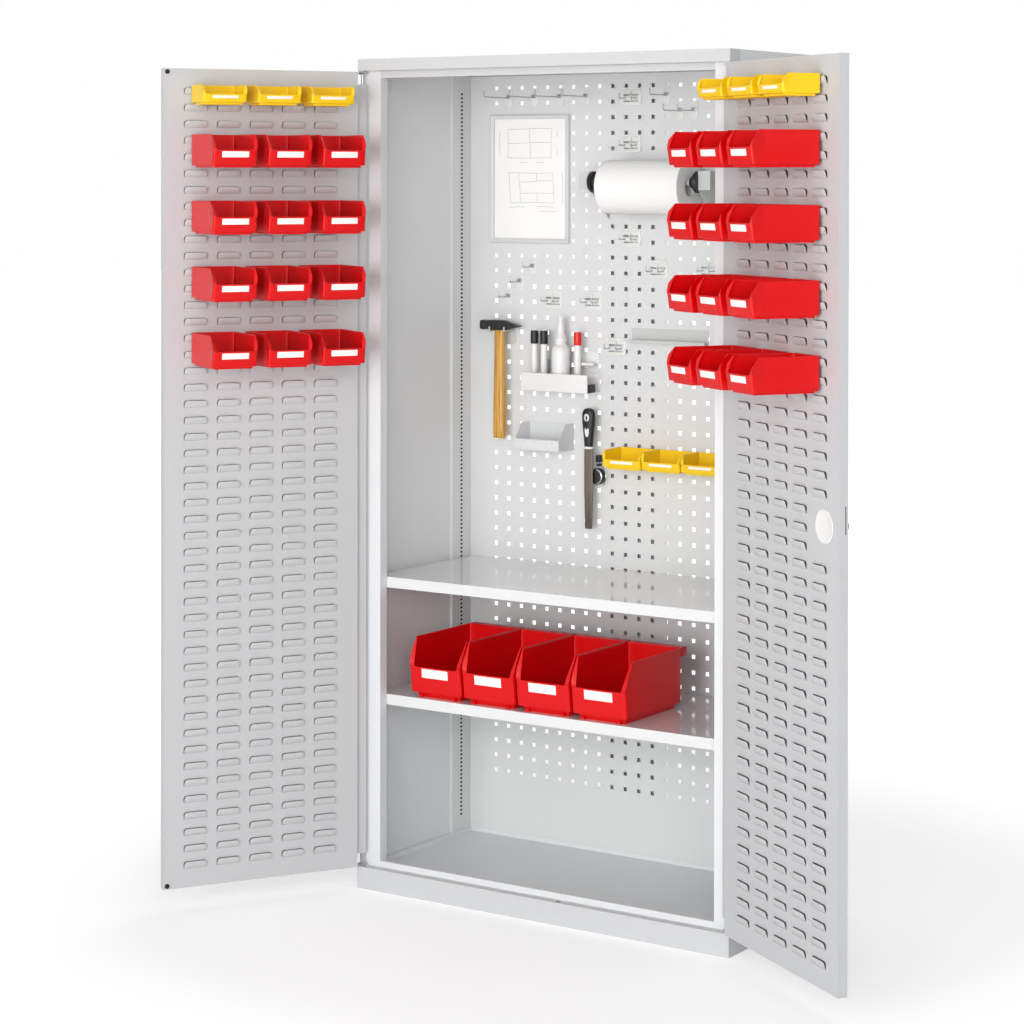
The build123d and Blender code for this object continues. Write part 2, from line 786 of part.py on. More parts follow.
def hammer_handle():
    x, y, z = hammer_x(), hammer_y(), hammer_z()
    half = hammer_face / 2
    wide, deep = handle_section
    eye = box(x - wide / 2 + 3.0, x + wide / 2 - 3.0, y - 7.0, y + 7.0, z - half, z + half)
    grip = box(x - wide / 2, x + wide / 2, y - deep / 2, y + deep / 2,
               z - hammer_handle_length + half, z - half - fit)
    grip = fillet(grip.edges().filter_by(Axis.Z), deep * 0.35)
    neck = box(x - wide / 2 + 3.0, x + wide / 2 - 3.0, y - 7.0, y + 7.0, z - half - fit, z - half)
    return join(eye, neck, grip)


def frame_left():
    return hole_x(0) - 14.0


def frame_top():
    return hole_z(43) + 9.0


def drawing_frame():
    x0 = frame_left()
    z1 = frame_top()
    y1 = panel_y
    outer = box(x0, x0 + frame_width, y1 - frame_depth, y1, z1 - frame_height, z1)
    inner = box(x0 + frame_bar, x0 + frame_width - frame_bar, y1 - frame_depth, y1 - 3.0,
                z1 - frame_height + frame_bar, z1 - frame_bar)
    return outer - inner


def drawing_sheet():
    x0 = frame_left() + frame_bar + fit
    x1 = frame_left() + frame_width - frame_bar - fit
    z1 = frame_top() - frame_bar - fit
    z0 = frame_top() - frame_height + frame_bar + fit
    return box(x0, x1, panel_y - 3.0 - 0.8, panel_y - 3.0, z0, z1)


def roll_place():
    # middle of the axle; the roll hangs on it, so its own middle is lower
    return hole_x(12.7), panel_y - roll_stand, hole_z(38.85)


def roll_drop():
    return (roll_core - axle_diameter) / 2 - roll_play


def paper_roll():
    x, y, z = roll_place()
    x += 8.0
    z -= roll_drop()
    half = roll_length / 2
    return rod_x(y, z, x - half, x + half, roll_diameter) - rod_x(y, z, x - half, x + half, roll_core)


def roll_arm(side):
    # gusset on the panel with a foot, and a flange at its front
    x, y, z = roll_place()
    inner = x + side * axle_length / 2
    outer = inner + side * sheet * 2
    front_y = y - 9.0
    outline = [(panel_y, z + 26.0), (front_y, z + 26.0), (front_y, z - 18.0), (panel_y, z - 92.0)]
    gusset = make_face(Plane.YZ * Polyline(*outline, close=True))
    gusset = extrude(Pos(min(inner, outer), 0, 0) * gusset, sheet * 2, dir=(1, 0, 0))
    flange = box(outer, outer + side * roll_flange, front_y, front_y + sheet * 2, z - 18.0, z + 26.0)
    foot = box(outer, outer + side * roll_flange, panel_y - sheet * 2, panel_y, z - 60.0, z + 26.0)
    disc = rod_x(y, z, inner - side * end_disc_thickness, inner, end_disc_diameter)
    return join(gusset, flange, foot, disc)


def roll_brackets():
    x, y, z = roll_place()
    half = axle_length / 2 - end_disc_thickness
    return [roll_arm(-1), roll_arm(1), rod_x(y, z, x - half, x + half, axle_diameter)]


def tool_ledge():
    x0 = hole_x(10.45)
    z1 = hole_z(29.55)
    back = box(x0, x0 + ledge_width, panel_y - sheet, panel_y, z1 - ledge_height, z1)
    shelf_part = box(x0, x0 + ledge_width, panel_y - ledge_depth, panel_y, z1 - ledge_height, z1 - ledge_height + sheet)
    lip = box(x0, x0 + ledge_width, panel_y - ledge_depth, panel_y - ledge_depth + sheet,
              z1 - ledge_height, z1 - ledge_height + 8.0)
    return join(back, shelf_part, lip)


def tray_corner():
    return hole_x(3.02), hole_z(25.34)


def pen_tray():
    x0, z0 = tray_corner()
    y0, y1 = panel_y - tray_depth, panel_y
    outer = box(x0, x0 + tray_width, y0, y1, z0, z0 + tray_height)
    wall = 2.0
    hollow = box(x0 + wall, x0 + tray_width - wall, y0 + wall, y1 - wall, z0 + wall, z0 + tray_height)
    return outer - hollow


def pens_and_bottle():
    x0, z0 = tray_corner()
    y = panel_y - tray_depth / 2
    floor_z = z0 + 2.0
    pieces = []
    for offset in (20.0, 48.0, 146.0):
        pieces.append(rod(x0 + offset, y, floor_z, floor_z + pen_length, pen_diameter))
    bottle_x = x0 + 97.0
    body = rod(bottle_x, y, floor_z, floor_z + bottle_height * 0.63, bottle_width)
    neck_low = floor_z + bottle_height * 0.63
    nozzle = Pos(bottle_x, y, neck_low) * Cone(13.0, 6.0, bottle_height * 0.37,
                                               align=(Align.CENTER, Align.CENTER, Align.MIN))
    pieces.append(join(body, nozzle))
    return pieces


def file_place():
    return hole_x(7.7), panel_y - file_stand, hole_z(21.7)


def file_blade():
    x, y, z = file_place()
    half = file_width / 2
    tip = half * 0.78
    outline = [(x - half, z), (x + half, z), (x + half, z - file_length * 0.5), (x + tip, z - file_length),
               (x - tip, z - file_length), (x - half, z - file_length * 0.5)]
    blade = extrude(make_face(Plane.XZ * Polyline(*outline, close=True)), file_thickness / 2, both=True)
    tang = box(x - 4.0, x + 4.0, y - file_thickness / 2, y + file_thickness / 2, z, z + 40.0)
    return join(Pos(0, y, 0) * blade, tang)


def file_handle():
    x, y, z = file_place()
    half = file_handle_width / 2
    top = z + file_handle_length
    body = box(x - half, x + half, y - 11.0, y + 11.0, z, top)
    body = fillet(body.edges().filter_by(Axis.Z), 8.0)
    tang = box(x - 4.0, x + 4.0, y - file_thickness / 2, y + file_thickness / 2, z, z + 40.0)
    return body - tang


def file_clip():
    # ring on a plate, with the blade in front of it
    x, y, z = file_place()
    x += 15.0
    z -= 67.0
    plate = plate_on_board(x, z, 38.0, 62.0)
    y1 = y + file_thickness / 2 + fit
    body = rod_y(x, z, y1, panel_y - plate_thickness, clip_ring)
    body = body - rod_y(x, z, y1, panel_y - plate_thickness, clip_ring - 10.0)
    return join(plate, body)


def clear_tray():
    x0 = hole_x(2.65)
    z1 = hole_z(23.2)
    y1 = panel_y
    wall = 2.0
    outline = [(y1, z1), (y1, z1 - scoop_height), (y1 - scoop_depth, z1 - scoop_height),
               (y1 - scoop_depth, z1 - scoop_height * 0.62), (y1 - scoop_depth * 0.55, z1)]
    body = extrude(Pos(x0, 0, 0) * make_face(Plane.YZ * Polyline(*outline, close=True)), scoop_width, dir=(1, 0, 0))
    hollow = box(x0 + wall, x0 + scoop_width - wall, y1 - scoop_depth + wall, y1 - wall,
                 z1 - scoop_height + wall, z1 + wall)
    return body - hollow


# ---------------- assembly ----------------

def group(pieces):
    return Compound(children=list(pieces))


def hung(pieces, side):
    return group([hang(piece, side) for piece in pieces])


def build_nodes():
    left_side = side_panel()
    shell = door_shell()
    left_shell = shell - bolt_slot()
    right_shell = shell - bolt_slot()
    for port in rod_ports():
        right_shell = right_shell - port
    nodes = {
        "left_side_panel": left_side,
        "right_side_panel": mirrored(left_side),
        "top_cover": top_cover(),
        "top_fascia": top_fascia(),
        "top_rail": top_rail(),
        "plinth": group([plinth(), floor_beam()]),
        "floor_pan": floor_pan(),
        "back_panel": back_panel(),
        "back_stiffener": back_stiffener(),
        "shelf_rails": shelf_rails(),
        "lower_shelf": shelf(shelf_slots[0]),
        "upper_shelf": shelf(shelf_slots[1]),
        "shelf_clips": shelf_clips(),
        "hinge_pivots": hinge_pivots(),
        "left_door_shell": hang(left_shell, "left"),
        "left_louvre_panel": hang(louvre_panel("left"), "left"),
        "left_door_bushes": hung(door_bushes(), "left"),
        "door_buffers": hung(door_buffers(), "left"),
        "right_door_shell": hang(right_shell, "right"),
        "right_louvre_panel": hang(louvre_panel("right"), "right"),
        "right_door_bushes": hung(door_bushes(), "right"),
        "lock_cover": hang(lock_cover(), "right"),
        "handle_rosette": hang(handle_rosette(), "right"),
        "turn_handle": hang(turn_handle(), "right"),
        "lock_cylinder": hang(lock_cylinder(), "right"),
        "lock_cam": hang(lock_cam(), "right"),
        "upper_lock_rod": hang(lock_rod(1), "right"),
        "lower_lock_rod": hang(lock_rod(-1), "right"),
        "rod_guides": hung(rod_guides(), "right"),
        "board_bins": group(board_bins()),
        "single_hooks": group(single_hooks()),
        "double_hooks": group(double_hooks()),
        "hammer_hook": hammer_hook(),
        "hammer_head": hammer_head(),
        "hammer_handle": hammer_handle(),
        "drawing_frame": drawing_frame(),
        "drawing_sheet": drawing_sheet(),
        "roll_brackets": group(roll_brackets()),
        "paper_roll": paper_roll(),
        "tool_ledge": tool_ledge(),
        "pen_tray": pen_tray(),
        "pens_and_bottle": group(pens_and_bottle()),
        "file_blade": file_blade(),
        "file_handle": file_handle(),
        "file_clip": file_clip(),
        "clear_tray": clear_tray(),
    }
    for row in range(len(door_row_louvres)):
        for side in ("left", "right"):
            nodes[f"{side}_bins_{row + 1}"] = hung(door_bin_row(row), side)
    for index in range(large_bins):
        nodes[f"large_bin_{index + 1}"] = large_bin(index)
    return nodes


os.makedirs("parts", exist_ok=True)
for name, shape in build_nodes().items():
    export_step(shape, f"parts/{name}.step")
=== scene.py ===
import bmesh
import bpy
import json
import math
import numpy as np
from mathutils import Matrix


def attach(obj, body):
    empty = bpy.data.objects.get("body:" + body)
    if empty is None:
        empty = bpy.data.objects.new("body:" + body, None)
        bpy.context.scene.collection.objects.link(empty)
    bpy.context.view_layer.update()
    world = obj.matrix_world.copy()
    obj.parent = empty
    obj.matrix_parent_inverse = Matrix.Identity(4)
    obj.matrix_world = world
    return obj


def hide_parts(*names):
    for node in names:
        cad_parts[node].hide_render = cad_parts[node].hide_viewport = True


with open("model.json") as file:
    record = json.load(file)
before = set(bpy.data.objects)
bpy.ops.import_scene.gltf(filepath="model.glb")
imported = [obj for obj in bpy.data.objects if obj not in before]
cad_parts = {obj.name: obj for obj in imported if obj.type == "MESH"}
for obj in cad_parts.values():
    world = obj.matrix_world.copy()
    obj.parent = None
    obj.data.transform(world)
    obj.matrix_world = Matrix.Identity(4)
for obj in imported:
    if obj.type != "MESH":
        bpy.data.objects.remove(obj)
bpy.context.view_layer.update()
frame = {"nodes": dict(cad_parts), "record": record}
nodes = frame["nodes"]
print("frame loaded")

mm = 0.001  # shapes are worked out in millimetres, and meshes are in metres


view = {"place": (3.2689, -5.2180, 1.6992), "turn": 33.796, "down": 0.381, "roll": -0.069,
        "lens": 92.1, "shift": -0.3118}
worldGlow = 0.45
lamps = {
    "softboxFront": {"place": (0.6, -6.4, 1.5), "aim": (0, 0.2, 0.95), "size": 3.0, "power": 195.0},
    "softboxLeft": {"place": (-2.6, -4.2, 3.4), "aim": (0, 0, 1.0), "size": 2.6, "power": 8.0},
    "softboxRight": {"place": (3.7, -5.4, 2.5), "aim": (0, 0, 0.9), "size": 3.0, "power": 115.0},
    "softboxTop": {"place": (0.0, 1.6, 4.2), "aim": (0, 0, 0.9), "size": 2.4, "power": 30.0},
}

cameraData = bpy.data.cameras.new("camera")
cameraData.lens = view["lens"]
cameraData.sensor_width = 36.0
cameraData.shift_y = view["shift"]
cameraData.clip_end = 60.0
camera = bpy.data.objects.new("camera", cameraData)
camera.location = view["place"]
camera.rotation_euler = (math.radians(90 - view["down"]), math.radians(view["roll"]), math.radians(view["turn"]))
bpy.context.scene.collection.objects.link(camera)
bpy.context.scene.camera = camera
bpy.context.scene.view_settings.view_transform = "Standard"


def lamp(name, place, aim, size, power):
    # square soft box that points from its place to its aim
    data = bpy.data.lights.new(name, "AREA")
    data.shape = "RECTANGLE"
    data.size = data.size_y = size
    data.energy = power
    lampObject = bpy.data.objects.new(name, data)
    lampObject.location = place
    away = np.array(place) - np.array(aim)
    flat = math.hypot(away[0], away[1])
    lampObject.rotation_euler = (math.atan2(flat, away[2]), 0, math.atan2(away[0], -away[1]))
    bpy.context.scene.collection.objects.link(lampObject)


for lampName, values in lamps.items():
    lamp(lampName, **values)


def node(tree, kind, **values):
    made = tree.nodes.new(kind)
    for key, value in values.items():
        setattr(made, key, value)
    return made


def math2(tree, operation, first, second, clamp=False):
    made = node(tree, "ShaderNodeMath", operation=operation, use_clamp=clamp)
    for index, value in enumerate((first, second)):
        if isinstance(value, (int, float)):
            made.inputs[index].default_value = value
        else:
            tree.links.new(value, made.inputs[index])
    return made.outputs[0]


world = bpy.data.worlds.new("studio")
bpy.context.scene.world = world
world.use_nodes = True
tree = world.node_tree
tree.nodes.clear()
rays = node(tree, "ShaderNodeLightPath")
shown = math2(tree, "MAXIMUM", rays.outputs["Is Camera Ray"], rays.outputs["Is Glossy Ray"])
shown = math2(tree, "MAXIMUM", shown, rays.outputs["Is Transmission Ray"])
mix = node(tree, "ShaderNodeMixShader")
tree.links.new(shown, mix.inputs[0])
for socket, strength in ((1, worldGlow), (2, 1.0)):  # what lights the object, and the white that is seen
    backdrop = node(tree, "ShaderNodeBackground")
    backdrop.inputs["Color"].default_value = (1, 1, 1, 1)
    backdrop.inputs["Strength"].default_value = strength
    tree.links.new(backdrop.outputs[0], mix.inputs[socket])
out = node(tree, "ShaderNodeOutputWorld")
tree.links.new(mix.outputs[0], out.inputs["Surface"])
print("camera and light set")


def tone(red, green, blue):
    # screen colour to the linear colour that a shader wants
    return tuple(c / 12.92 if c <= 0.04045 else ((c + 0.055) / 1.055) ** 2.4 for c in (red, green, blue)) + (1.0,)


def newGroup(name, inputs, outputs):
    group = bpy.data.node_groups.new(name, "ShaderNodeTree")
    for label, kind, value in inputs:
        socket = group.interface.new_socket(label, in_out="INPUT", socket_type=kind)
        socket.default_value = value
    for label, kind in outputs:
        group.interface.new_socket(label, in_out="OUTPUT", socket_type=kind)
    return group, group.nodes.new("NodeGroupInput"), group.nodes.new("NodeGroupOutput")


def makeGrain():
    # fine bumps of a sprayed or moulded surface: a small noise and a weaker, larger one
    group, start, end = newGroup(
        "surfaceGrain", [("Scale", "NodeSocketFloat", 900.0), ("Wave", "NodeSocketFloat", 0.3)],
        [("Height", "NodeSocketFloat")])
    place = node(group, "ShaderNodeTexCoord")
    fine = node(group, "ShaderNodeTexNoise")
    fine.inputs["Detail"].default_value = 2.0
    wide = node(group, "ShaderNodeTexNoise")
    wide.inputs["Scale"].default_value = 9.0
    wide.inputs["Detail"].default_value = 1.0
    group.links.new(place.outputs["Object"], fine.inputs["Vector"])
    group.links.new(place.outputs["Object"], wide.inputs["Vector"])
    group.links.new(start.outputs["Scale"], fine.inputs["Scale"])
    weighted = math2(group, "MULTIPLY", wide.outputs[0], start.outputs["Wave"])
    group.links.new(math2(group, "ADD", fine.outputs[0], weighted), end.inputs["Height"])
    return group


def makeDrift():
    # slow drift of the colour, with a few small specks of dust
    group, start, end = newGroup(
        "colourDrift",
        [("Colour", "NodeSocketColor", (0.8, 0.8, 0.8, 1)), ("Dust", "NodeSocketColor", (0.5, 0.48, 0.45, 1)),
         ("Scale", "NodeSocketFloat", 3.0), ("Amount", "NodeSocketFloat", 0.08), ("Specks", "NodeSocketFloat", 0.05)],
        [("Colour", "NodeSocketColor"), ("Mask", "NodeSocketFloat")])
    place = node(group, "ShaderNodeTexCoord")
    slow = node(group, "ShaderNodeTexNoise")
    slow.inputs["Detail"].default_value = 3.0
    group.links.new(place.outputs["Object"], slow.inputs["Vector"])
    group.links.new(start.outputs["Scale"], slow.inputs["Scale"])
    speck = node(group, "ShaderNodeTexNoise")
    speck.inputs["Scale"].default_value = 420.0
    speck.inputs["Detail"].default_value = 1.0
    group.links.new(place.outputs["Object"], speck.inputs["Vector"])
    sharp = node(group, "ShaderNodeMapRange")
    sharp.inputs["From Min"].default_value = 0.68
    sharp.inputs["From Max"].default_value = 0.76
    group.links.new(speck.outputs[0], sharp.inputs["Value"])
    specks = math2(group, "MULTIPLY", sharp.outputs[0], start.outputs["Specks"])
    change = math2(group, "MULTIPLY", slow.outputs[0], start.outputs["Amount"])
    share = math2(group, "ADD", change, specks, clamp=True)
    mixed = node(group, "ShaderNodeMix", data_type="RGBA")
    group.links.new(share, mixed.inputs[0])
    group.links.new(start.outputs["Colour"], mixed.inputs[6])
    group.links.new(start.outputs["Dust"], mixed.inputs[7])
    group.links.new(mixed.outputs[2], end.inputs["Colour"])
    group.links.new(share, end.inputs["Mask"])
    return group


grainGroup = makeGrain()
driftGroup = makeDrift()


def finish(name, colour, rough, metal=0.0, grain=900.0, bump=0.02, wave=0.3, drift=0.06, driftScale=3.0,
           specks=0.05, dust=None, coat=0.0, roughChange=0.08, specular=0.5, through=0.0):
    # one coat or plastic: drifting colour, a roughness that follows the same mask, and a fine bump
    material = bpy.data.materials.new(name)
    material.use_nodes = True
    tree = material.node_tree
    shader = tree.nodes["Principled BSDF"]
    shader.inputs["Metallic"].default_value = metal
    shader.inputs["Specular IOR Level"].default_value = specular
    shader.inputs["Coat Weight"].default_value = coat
    shader.inputs["Coat Roughness"].default_value = 0.08
    shader.inputs["Transmission Weight"].default_value = through
    colours = node(tree, "ShaderNodeGroup", node_tree=driftGroup)
    colours.inputs["Colour"].default_value = tone(*colour)
    shade = dust or tuple(c * 0.8 for c in colour)
    colours.inputs["Dust"].default_value = tone(*shade)
    colours.inputs["Scale"].default_value = driftScale
    colours.inputs["Amount"].default_value = drift
    colours.inputs["Specks"].default_value = specks
    tree.links.new(colours.outputs["Colour"], shader.inputs["Base Color"])
    change = math2(tree, "MULTIPLY", colours.outputs["Mask"], roughChange / max(drift, 0.01))
    tree.links.new(math2(tree, "ADD", change, rough, clamp=True), shader.inputs["Roughness"])
    grains = node(tree, "ShaderNodeGroup", node_tree=grainGroup)
    grains.inputs["Scale"].default_value = grain
    grains.inputs["Wave"].default_value = wave
    relief = node(tree, "ShaderNodeBump")
    relief.inputs["Strength"].default_value = bump
    relief.inputs["Distance"].default_value = 0.001
    tree.links.new(grains.outputs["Height"], relief.inputs["Height"])
    tree.links.new(relief.outputs["Normal"], shader.inputs["Normal"])
    return material


# painted shade: the "front" grey is the body's grey made darker, for the faces the front lamp meets squarely
paint = {"front": (0.785, 0.79, 0.795), "door": (0.765, 0.77, 0.775), "body": (0.875, 0.88, 0.885),
         "panel": (0.85, 0.855, 0.855), "shelf": (0.875, 0.88, 0.88)}
plastic = {"red": (0.85, 0.0, 0.02), "yellow": (0.96, 0.80, 0.03), "label": (0.975, 0.95, 0.93)}

bodyCoat = finish("bodyPowderCoat", paint["body"], 0.42, grain=1400.0, bump=0.10, drift=0.05)
# painted shade: copy of the body's powder coat in a darker grey, for the fascia, plinth and top rail
frontShadeCoat = finish("frontPowderCoatPaintedShade", paint["front"], 0.42, grain=1400.0, bump=0.10, drift=0.05)
# painted shade: the doors and their louvre panels get the body's grey painted darker (the "door" grey), to offset how
# brightly the lamps light them
doorShadeCoat = finish("doorPowderCoatPaintedShade", paint["door"], 0.42, grain=1400.0, bump=0.10, drift=0.05)
panelCoat = finish("panelCoat", paint["panel"], 0.45, grain=1500.0, bump=0.06, drift=0.05)
shelfCoat = finish("shelfCoat", paint["shelf"], 0.07, grain=260.0, bump=0.008, wave=0.4, drift=0.04, coat=0.6,
                   roughChange=0.03)
hookCoat = finish("hookCoat", (0.78, 0.79, 0.78), 0.4, grain=1200.0, bump=0.04, drift=0.06)
redMoulded = finish("redMoulded", plastic["red"], 0.28, grain=700.0, bump=0.05, drift=0.10, driftScale=7.0,
                    dust=(0.78, 0.06, 0.08), specular=0.35)
yellowMoulded = finish("yellowMoulded", plastic["yellow"], 0.30, grain=700.0, bump=0.05, drift=0.10, driftScale=7.0,
                       dust=(0.90, 0.70, 0.08))
labelCard = finish("labelCard", plastic["label"], 0.55, grain=500.0, bump=0.05, drift=0.05)
zinc = finish("zincPlate", (0.72, 0.73, 0.74), 0.32, metal=1.0, grain=400.0, bump=0.05, drift=0.2, driftScale=30.0)
groundSteel = finish("groundSteel", (0.62, 0.60, 0.57), 0.34, metal=1.0, grain=600.0, bump=0.12, drift=0.25,
                     driftScale=40.0)
chromePlate = finish("chromePlate", (0.82, 0.82, 0.83), 0.12, metal=1.0, grain=200.0, bump=0.01, drift=0.1)
blackSteel = finish("blackSteel", (0.10, 0.10, 0.105), 0.38, grain=500.0, bump=0.12, drift=0.3, driftScale=25.0,
                    dust=(0.22, 0.22, 0.22))
blackMoulded = finish("blackMoulded", (0.075, 0.075, 0.08), 0.42, grain=900.0, bump=0.10, drift=0.2,
                      dust=(0.16, 0.16, 0.16))
whiteMoulded = finish("whiteMoulded", (0.90, 0.90, 0.895), 0.30, grain=800.0, bump=0.04, drift=0.06)
paleMoulded = finish("paleMoulded", (0.83, 0.835, 0.835), 0.40, grain=900.0, bump=0.06, drift=0.06)
clearMoulded = finish("clearMoulded", (0.93, 0.94, 0.94), 0.22, grain=300.0, bump=0.03, drift=0.05, through=0.2)
blackRubber = finish("blackRubber", (0.09, 0.09, 0.09), 0.75, grain=900.0, bump=0.25, drift=0.2)
paperWhite = finish("paperWhite", (0.95, 0.95, 0.945), 0.85, grain=350.0, bump=0.12, drift=0.05, specular=0.2)
redCap = finish("redCap", (0.86, 0.10, 0.05), 0.3, grain=800.0, bump=0.04, drift=0.06)


def woodFinish():
    # long streaks along the handle from a noise that is stretched in height, and fine pores
    material = finish("ashWood", (0.90, 0.62, 0.30), 0.34, drift=0.1, coat=0.25)
    tree = material.node_tree
    shader = tree.nodes["Principled BSDF"]
    place = node(tree, "ShaderNodeTexCoord")
    stretch = node(tree, "ShaderNodeMapping")
    stretch.inputs["Scale"].default_value = (160.0, 160.0, 6.0)
    streak = node(tree, "ShaderNodeTexNoise")
    streak.inputs["Scale"].default_value = 1.0
    streak.inputs["Detail"].default_value = 5.0
    ramp = node(tree, "ShaderNodeValToRGB")
    ramp.color_ramp.elements[0].position = 0.32
    ramp.color_ramp.elements[0].color = tone(0.66, 0.44, 0.13)
    ramp.color_ramp.elements[1].position = 0.62
    ramp.color_ramp.elements[1].color = tone(0.86, 0.66, 0.28)
    tree.links.new(place.outputs["Object"], stretch.inputs["Vector"])
    tree.links.new(stretch.outputs[0], streak.inputs["Vector"])
    tree.links.new(streak.outputs[0], ramp.inputs[0])
    tree.links.new(ramp.outputs[0], shader.inputs["Base Color"])
    return material


ashWood = woodFinish()
clearHolder = finish("clearHolder", (0.88, 0.89, 0.875), 0.24, grain=300.0, bump=0.03, drift=0.06)
fileSteel = finish("fileSteel", (0.50, 0.46, 0.42), 0.42, metal=1.0, grain=1600.0, bump=0.30, drift=0.35,
                   driftScale=60.0, dust=(0.36, 0.33, 0.30))
pencil = finish("pencil", (0.62, 0.62, 0.64), 0.8, grain=900.0, bump=0.1, drift=0.3, dust=(0.85, 0.85, 0.86))

finishOf = {
    "body_grey": bodyCoat, "door_grey": doorShadeCoat, "panel_grey": panelCoat, "shelf_grey": shelfCoat,
    "hook_grey": hookCoat, "zinc": zinc, "steel": groundSteel, "chrome": chromePlate, "black_steel": blackSteel,
    "black_plastic": blackMoulded, "white_plastic": whiteMoulded, "pale_plastic": paleMoulded,
    "red_plastic": redMoulded, "yellow_plastic": yellowMoulded, "clear_plastic": clearMoulded,
    "rubber": blackRubber, "paper": paperWhite, "wood": ashWood,
}
frontNodes = ("top_fascia", "plinth", "top_rail")  # painted shade: they face the front lamp squarely, so they get the body's grey painted darker
for part in frame["record"]["subparts"]:
    for materialSlot in nodes[part["node"]].material_slots:
        materialSlot.material = frontShadeCoat if part["node"] in frontNodes else finishOf[part["material_slot"]]
print("materials made")


crease = math.radians(35.0)  # sharper edges than this stay crisp


def addPiece(name, points, faces, material, body):
    mesh = bpy.data.meshes.new(name)
    mesh.from_pydata(np.asarray(points, float).tolist(), [], [list(f) for f in faces])
    mesh.validate()
    mesh.materials.append(material)
    piece = bpy.data.objects.new(name, mesh)
    bpy.context.scene.collection.objects.link(piece)
    mesh.polygons.foreach_set("use_smooth", np.ones(len(mesh.polygons), bool))
    mesh.set_sharp_from_angle(angle=crease)
    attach(piece, body)
    return piece


def gridFaces(rows, columns, closeRows=False, closeColumns=False):
    # quads of a grid of points that is numbered row by row
    i = np.arange(rows if closeRows else rows - 1)
    j = np.arange(columns if closeColumns else columns - 1)
    i, j = [a.ravel() for a in np.meshgrid(i, j, indexing="ij")]
    ni, nj = (i + 1) % rows, (j + 1) % columns
    return np.stack([i * columns + j, i * columns + nj, ni * columns + nj, ni * columns + j], 1)


def cappedFaces(rows, columns):
    # sides of stacked loops, and a flat cap at each end
    faces = gridFaces(rows, columns, closeColumns=True).tolist()
    return faces + [list(range(columns))[::-1], [(rows - 1) * columns + k for k in range(columns)]]


def joinShapes(shapes):
    # several (points, faces) as one
    points, faces, count = [], [], 0
    for shapePoints, shapeFaces in shapes:
        points.append(shapePoints)
        faces += [[v + count for v in f] for f in shapeFaces]
        count += len(shapePoints)
    return np.concatenate(points), faces


def roundedOutline(halfWidth, back, front, radius, arc=5, side=6):
    # anticlockwise rounded rectangle: corner arcs, with extra points on the straight sides
    radius = max(radius, 0.05)
    turn = np.linspace(0, math.pi / 2, arc)
    corners = [(halfWidth - radius, front - radius, 0), (-halfWidth + radius, front - radius, math.pi / 2),
               (-halfWidth + radius, back + radius, math.pi), (halfWidth - radius, back + radius, 1.5 * math.pi)]
    parts = []
    for index, (cx, cy, first) in enumerate(corners):
        parts.append(np.stack([cx + radius * np.cos(first + turn), cy + radius * np.sin(first + turn)], 1))
        ax, ay = parts[-1][-1]
        nx, ny, nextFirst = corners[(index + 1) % 4]
        bx, by = nx + radius * math.cos(nextFirst), ny + radius * math.sin(nextFirst)
        share = np.linspace(0, 1, side + 2)[1:-1, None]
        parts.append(np.array([[ax, ay]]) * (1 - share) + np.array([[bx, by]]) * share)
    return np.concatenate(parts)


def softBlock(x0, x1, y0, y1, z0, z1, radius=0.6):
    # box with rounded edges: the outline shrinks by a quarter circle at the bottom and top
    halfWidth = (x1 - x0) / 2
    turn = np.linspace(0, math.pi / 2, 4)
    steps = [(radius * (1 - math.sin(t)), z0 + radius * (1 - math.cos(t))) for t in turn]
    steps += [(radius * (1 - math.cos(t)), z1 - radius * (1 - math.sin(t))) for t in turn]
    loops = []
    for inset, z in steps:
        outline = roundedOutline(halfWidth - inset, y0 + inset, y1 - inset, radius, arc=4, side=0)
        loops.append(np.column_stack([outline[:, 0] + (x0 + x1) / 2, outline[:, 1], np.full(len(outline), z)]))
    return np.concatenate(loops), cappedFaces(len(loops), len(loops[0]))


def lathe(profile, centre, axis="z", around=40):
    # profile of (radius, height) turned round an axis; a radius of nought closes the shape at its poles
    profile = np.asarray(profile, float)
    angle = np.linspace(0, 2 * math.pi, around, endpoint=False)
    radius, height = profile[:, 0][:, None], profile[:, 1][:, None]
    a, b, c = radius * np.cos(angle), radius * np.sin(angle), height + 0 * angle
    stack = {"z": (a, b, c), "x": (c, a, b), "y": (b, c, a)}[axis]
    points = np.stack([s.ravel() for s in stack], 1) + np.array(centre)
    return points, gridFaces(len(profile), around, closeColumns=True).tolist()


def tube(path, radius, around=10):
    # circle carried along a path, with one radius or one for each point, and flat caps
    path = np.asarray(path, float)
    radius = np.broadcast_to(np.asarray(radius, float), (len(path),))[:, None, None]
    along = np.gradient(path, axis=0)
    along /= np.linalg.norm(along, axis=1)[:, None]
    guide = np.where(np.abs(along[:, :1]) < 0.9, np.array([[1.0, 0, 0]]), np.array([[0, 1.0, 0]]))
    first = np.cross(along, guide)
    first /= np.linalg.norm(first, axis=1)[:, None]
    second = np.cross(along, first)
    angle = np.linspace(0, 2 * math.pi, around, endpoint=False)
    ring = first[:, None, :] * np.cos(angle)[None, :, None] + second[:, None, :] * np.sin(angle)[None, :, None]
    points = (path[:, None, :] + radius * ring).reshape(-1, 3)
    return points, cappedFaces(len(path), around)


def loft(stations, axis, around=32):
    # superellipse sections along an axis: place, two middles, two half widths and a squareness for each
    rows = np.asarray(stations, float)
    angle = np.linspace(0, 2 * math.pi, around, endpoint=False)
    c, d = np.cos(angle)[None], np.sin(angle)[None]
    power = 2 / rows[:, 5:6]
    a = rows[:, 1:2] + rows[:, 3:4] * np.sign(c) * np.abs(c) ** power
    b = rows[:, 2:3] + rows[:, 4:5] * np.sign(d) * np.abs(d) ** power
    t = rows[:, 0:1] + 0 * c
    stack = {"x": (t, a, b), "y": (b, t, a), "z": (a, b, t)}[axis]
    return np.stack([v.ravel() for v in stack], 1), cappedFaces(len(rows), around)


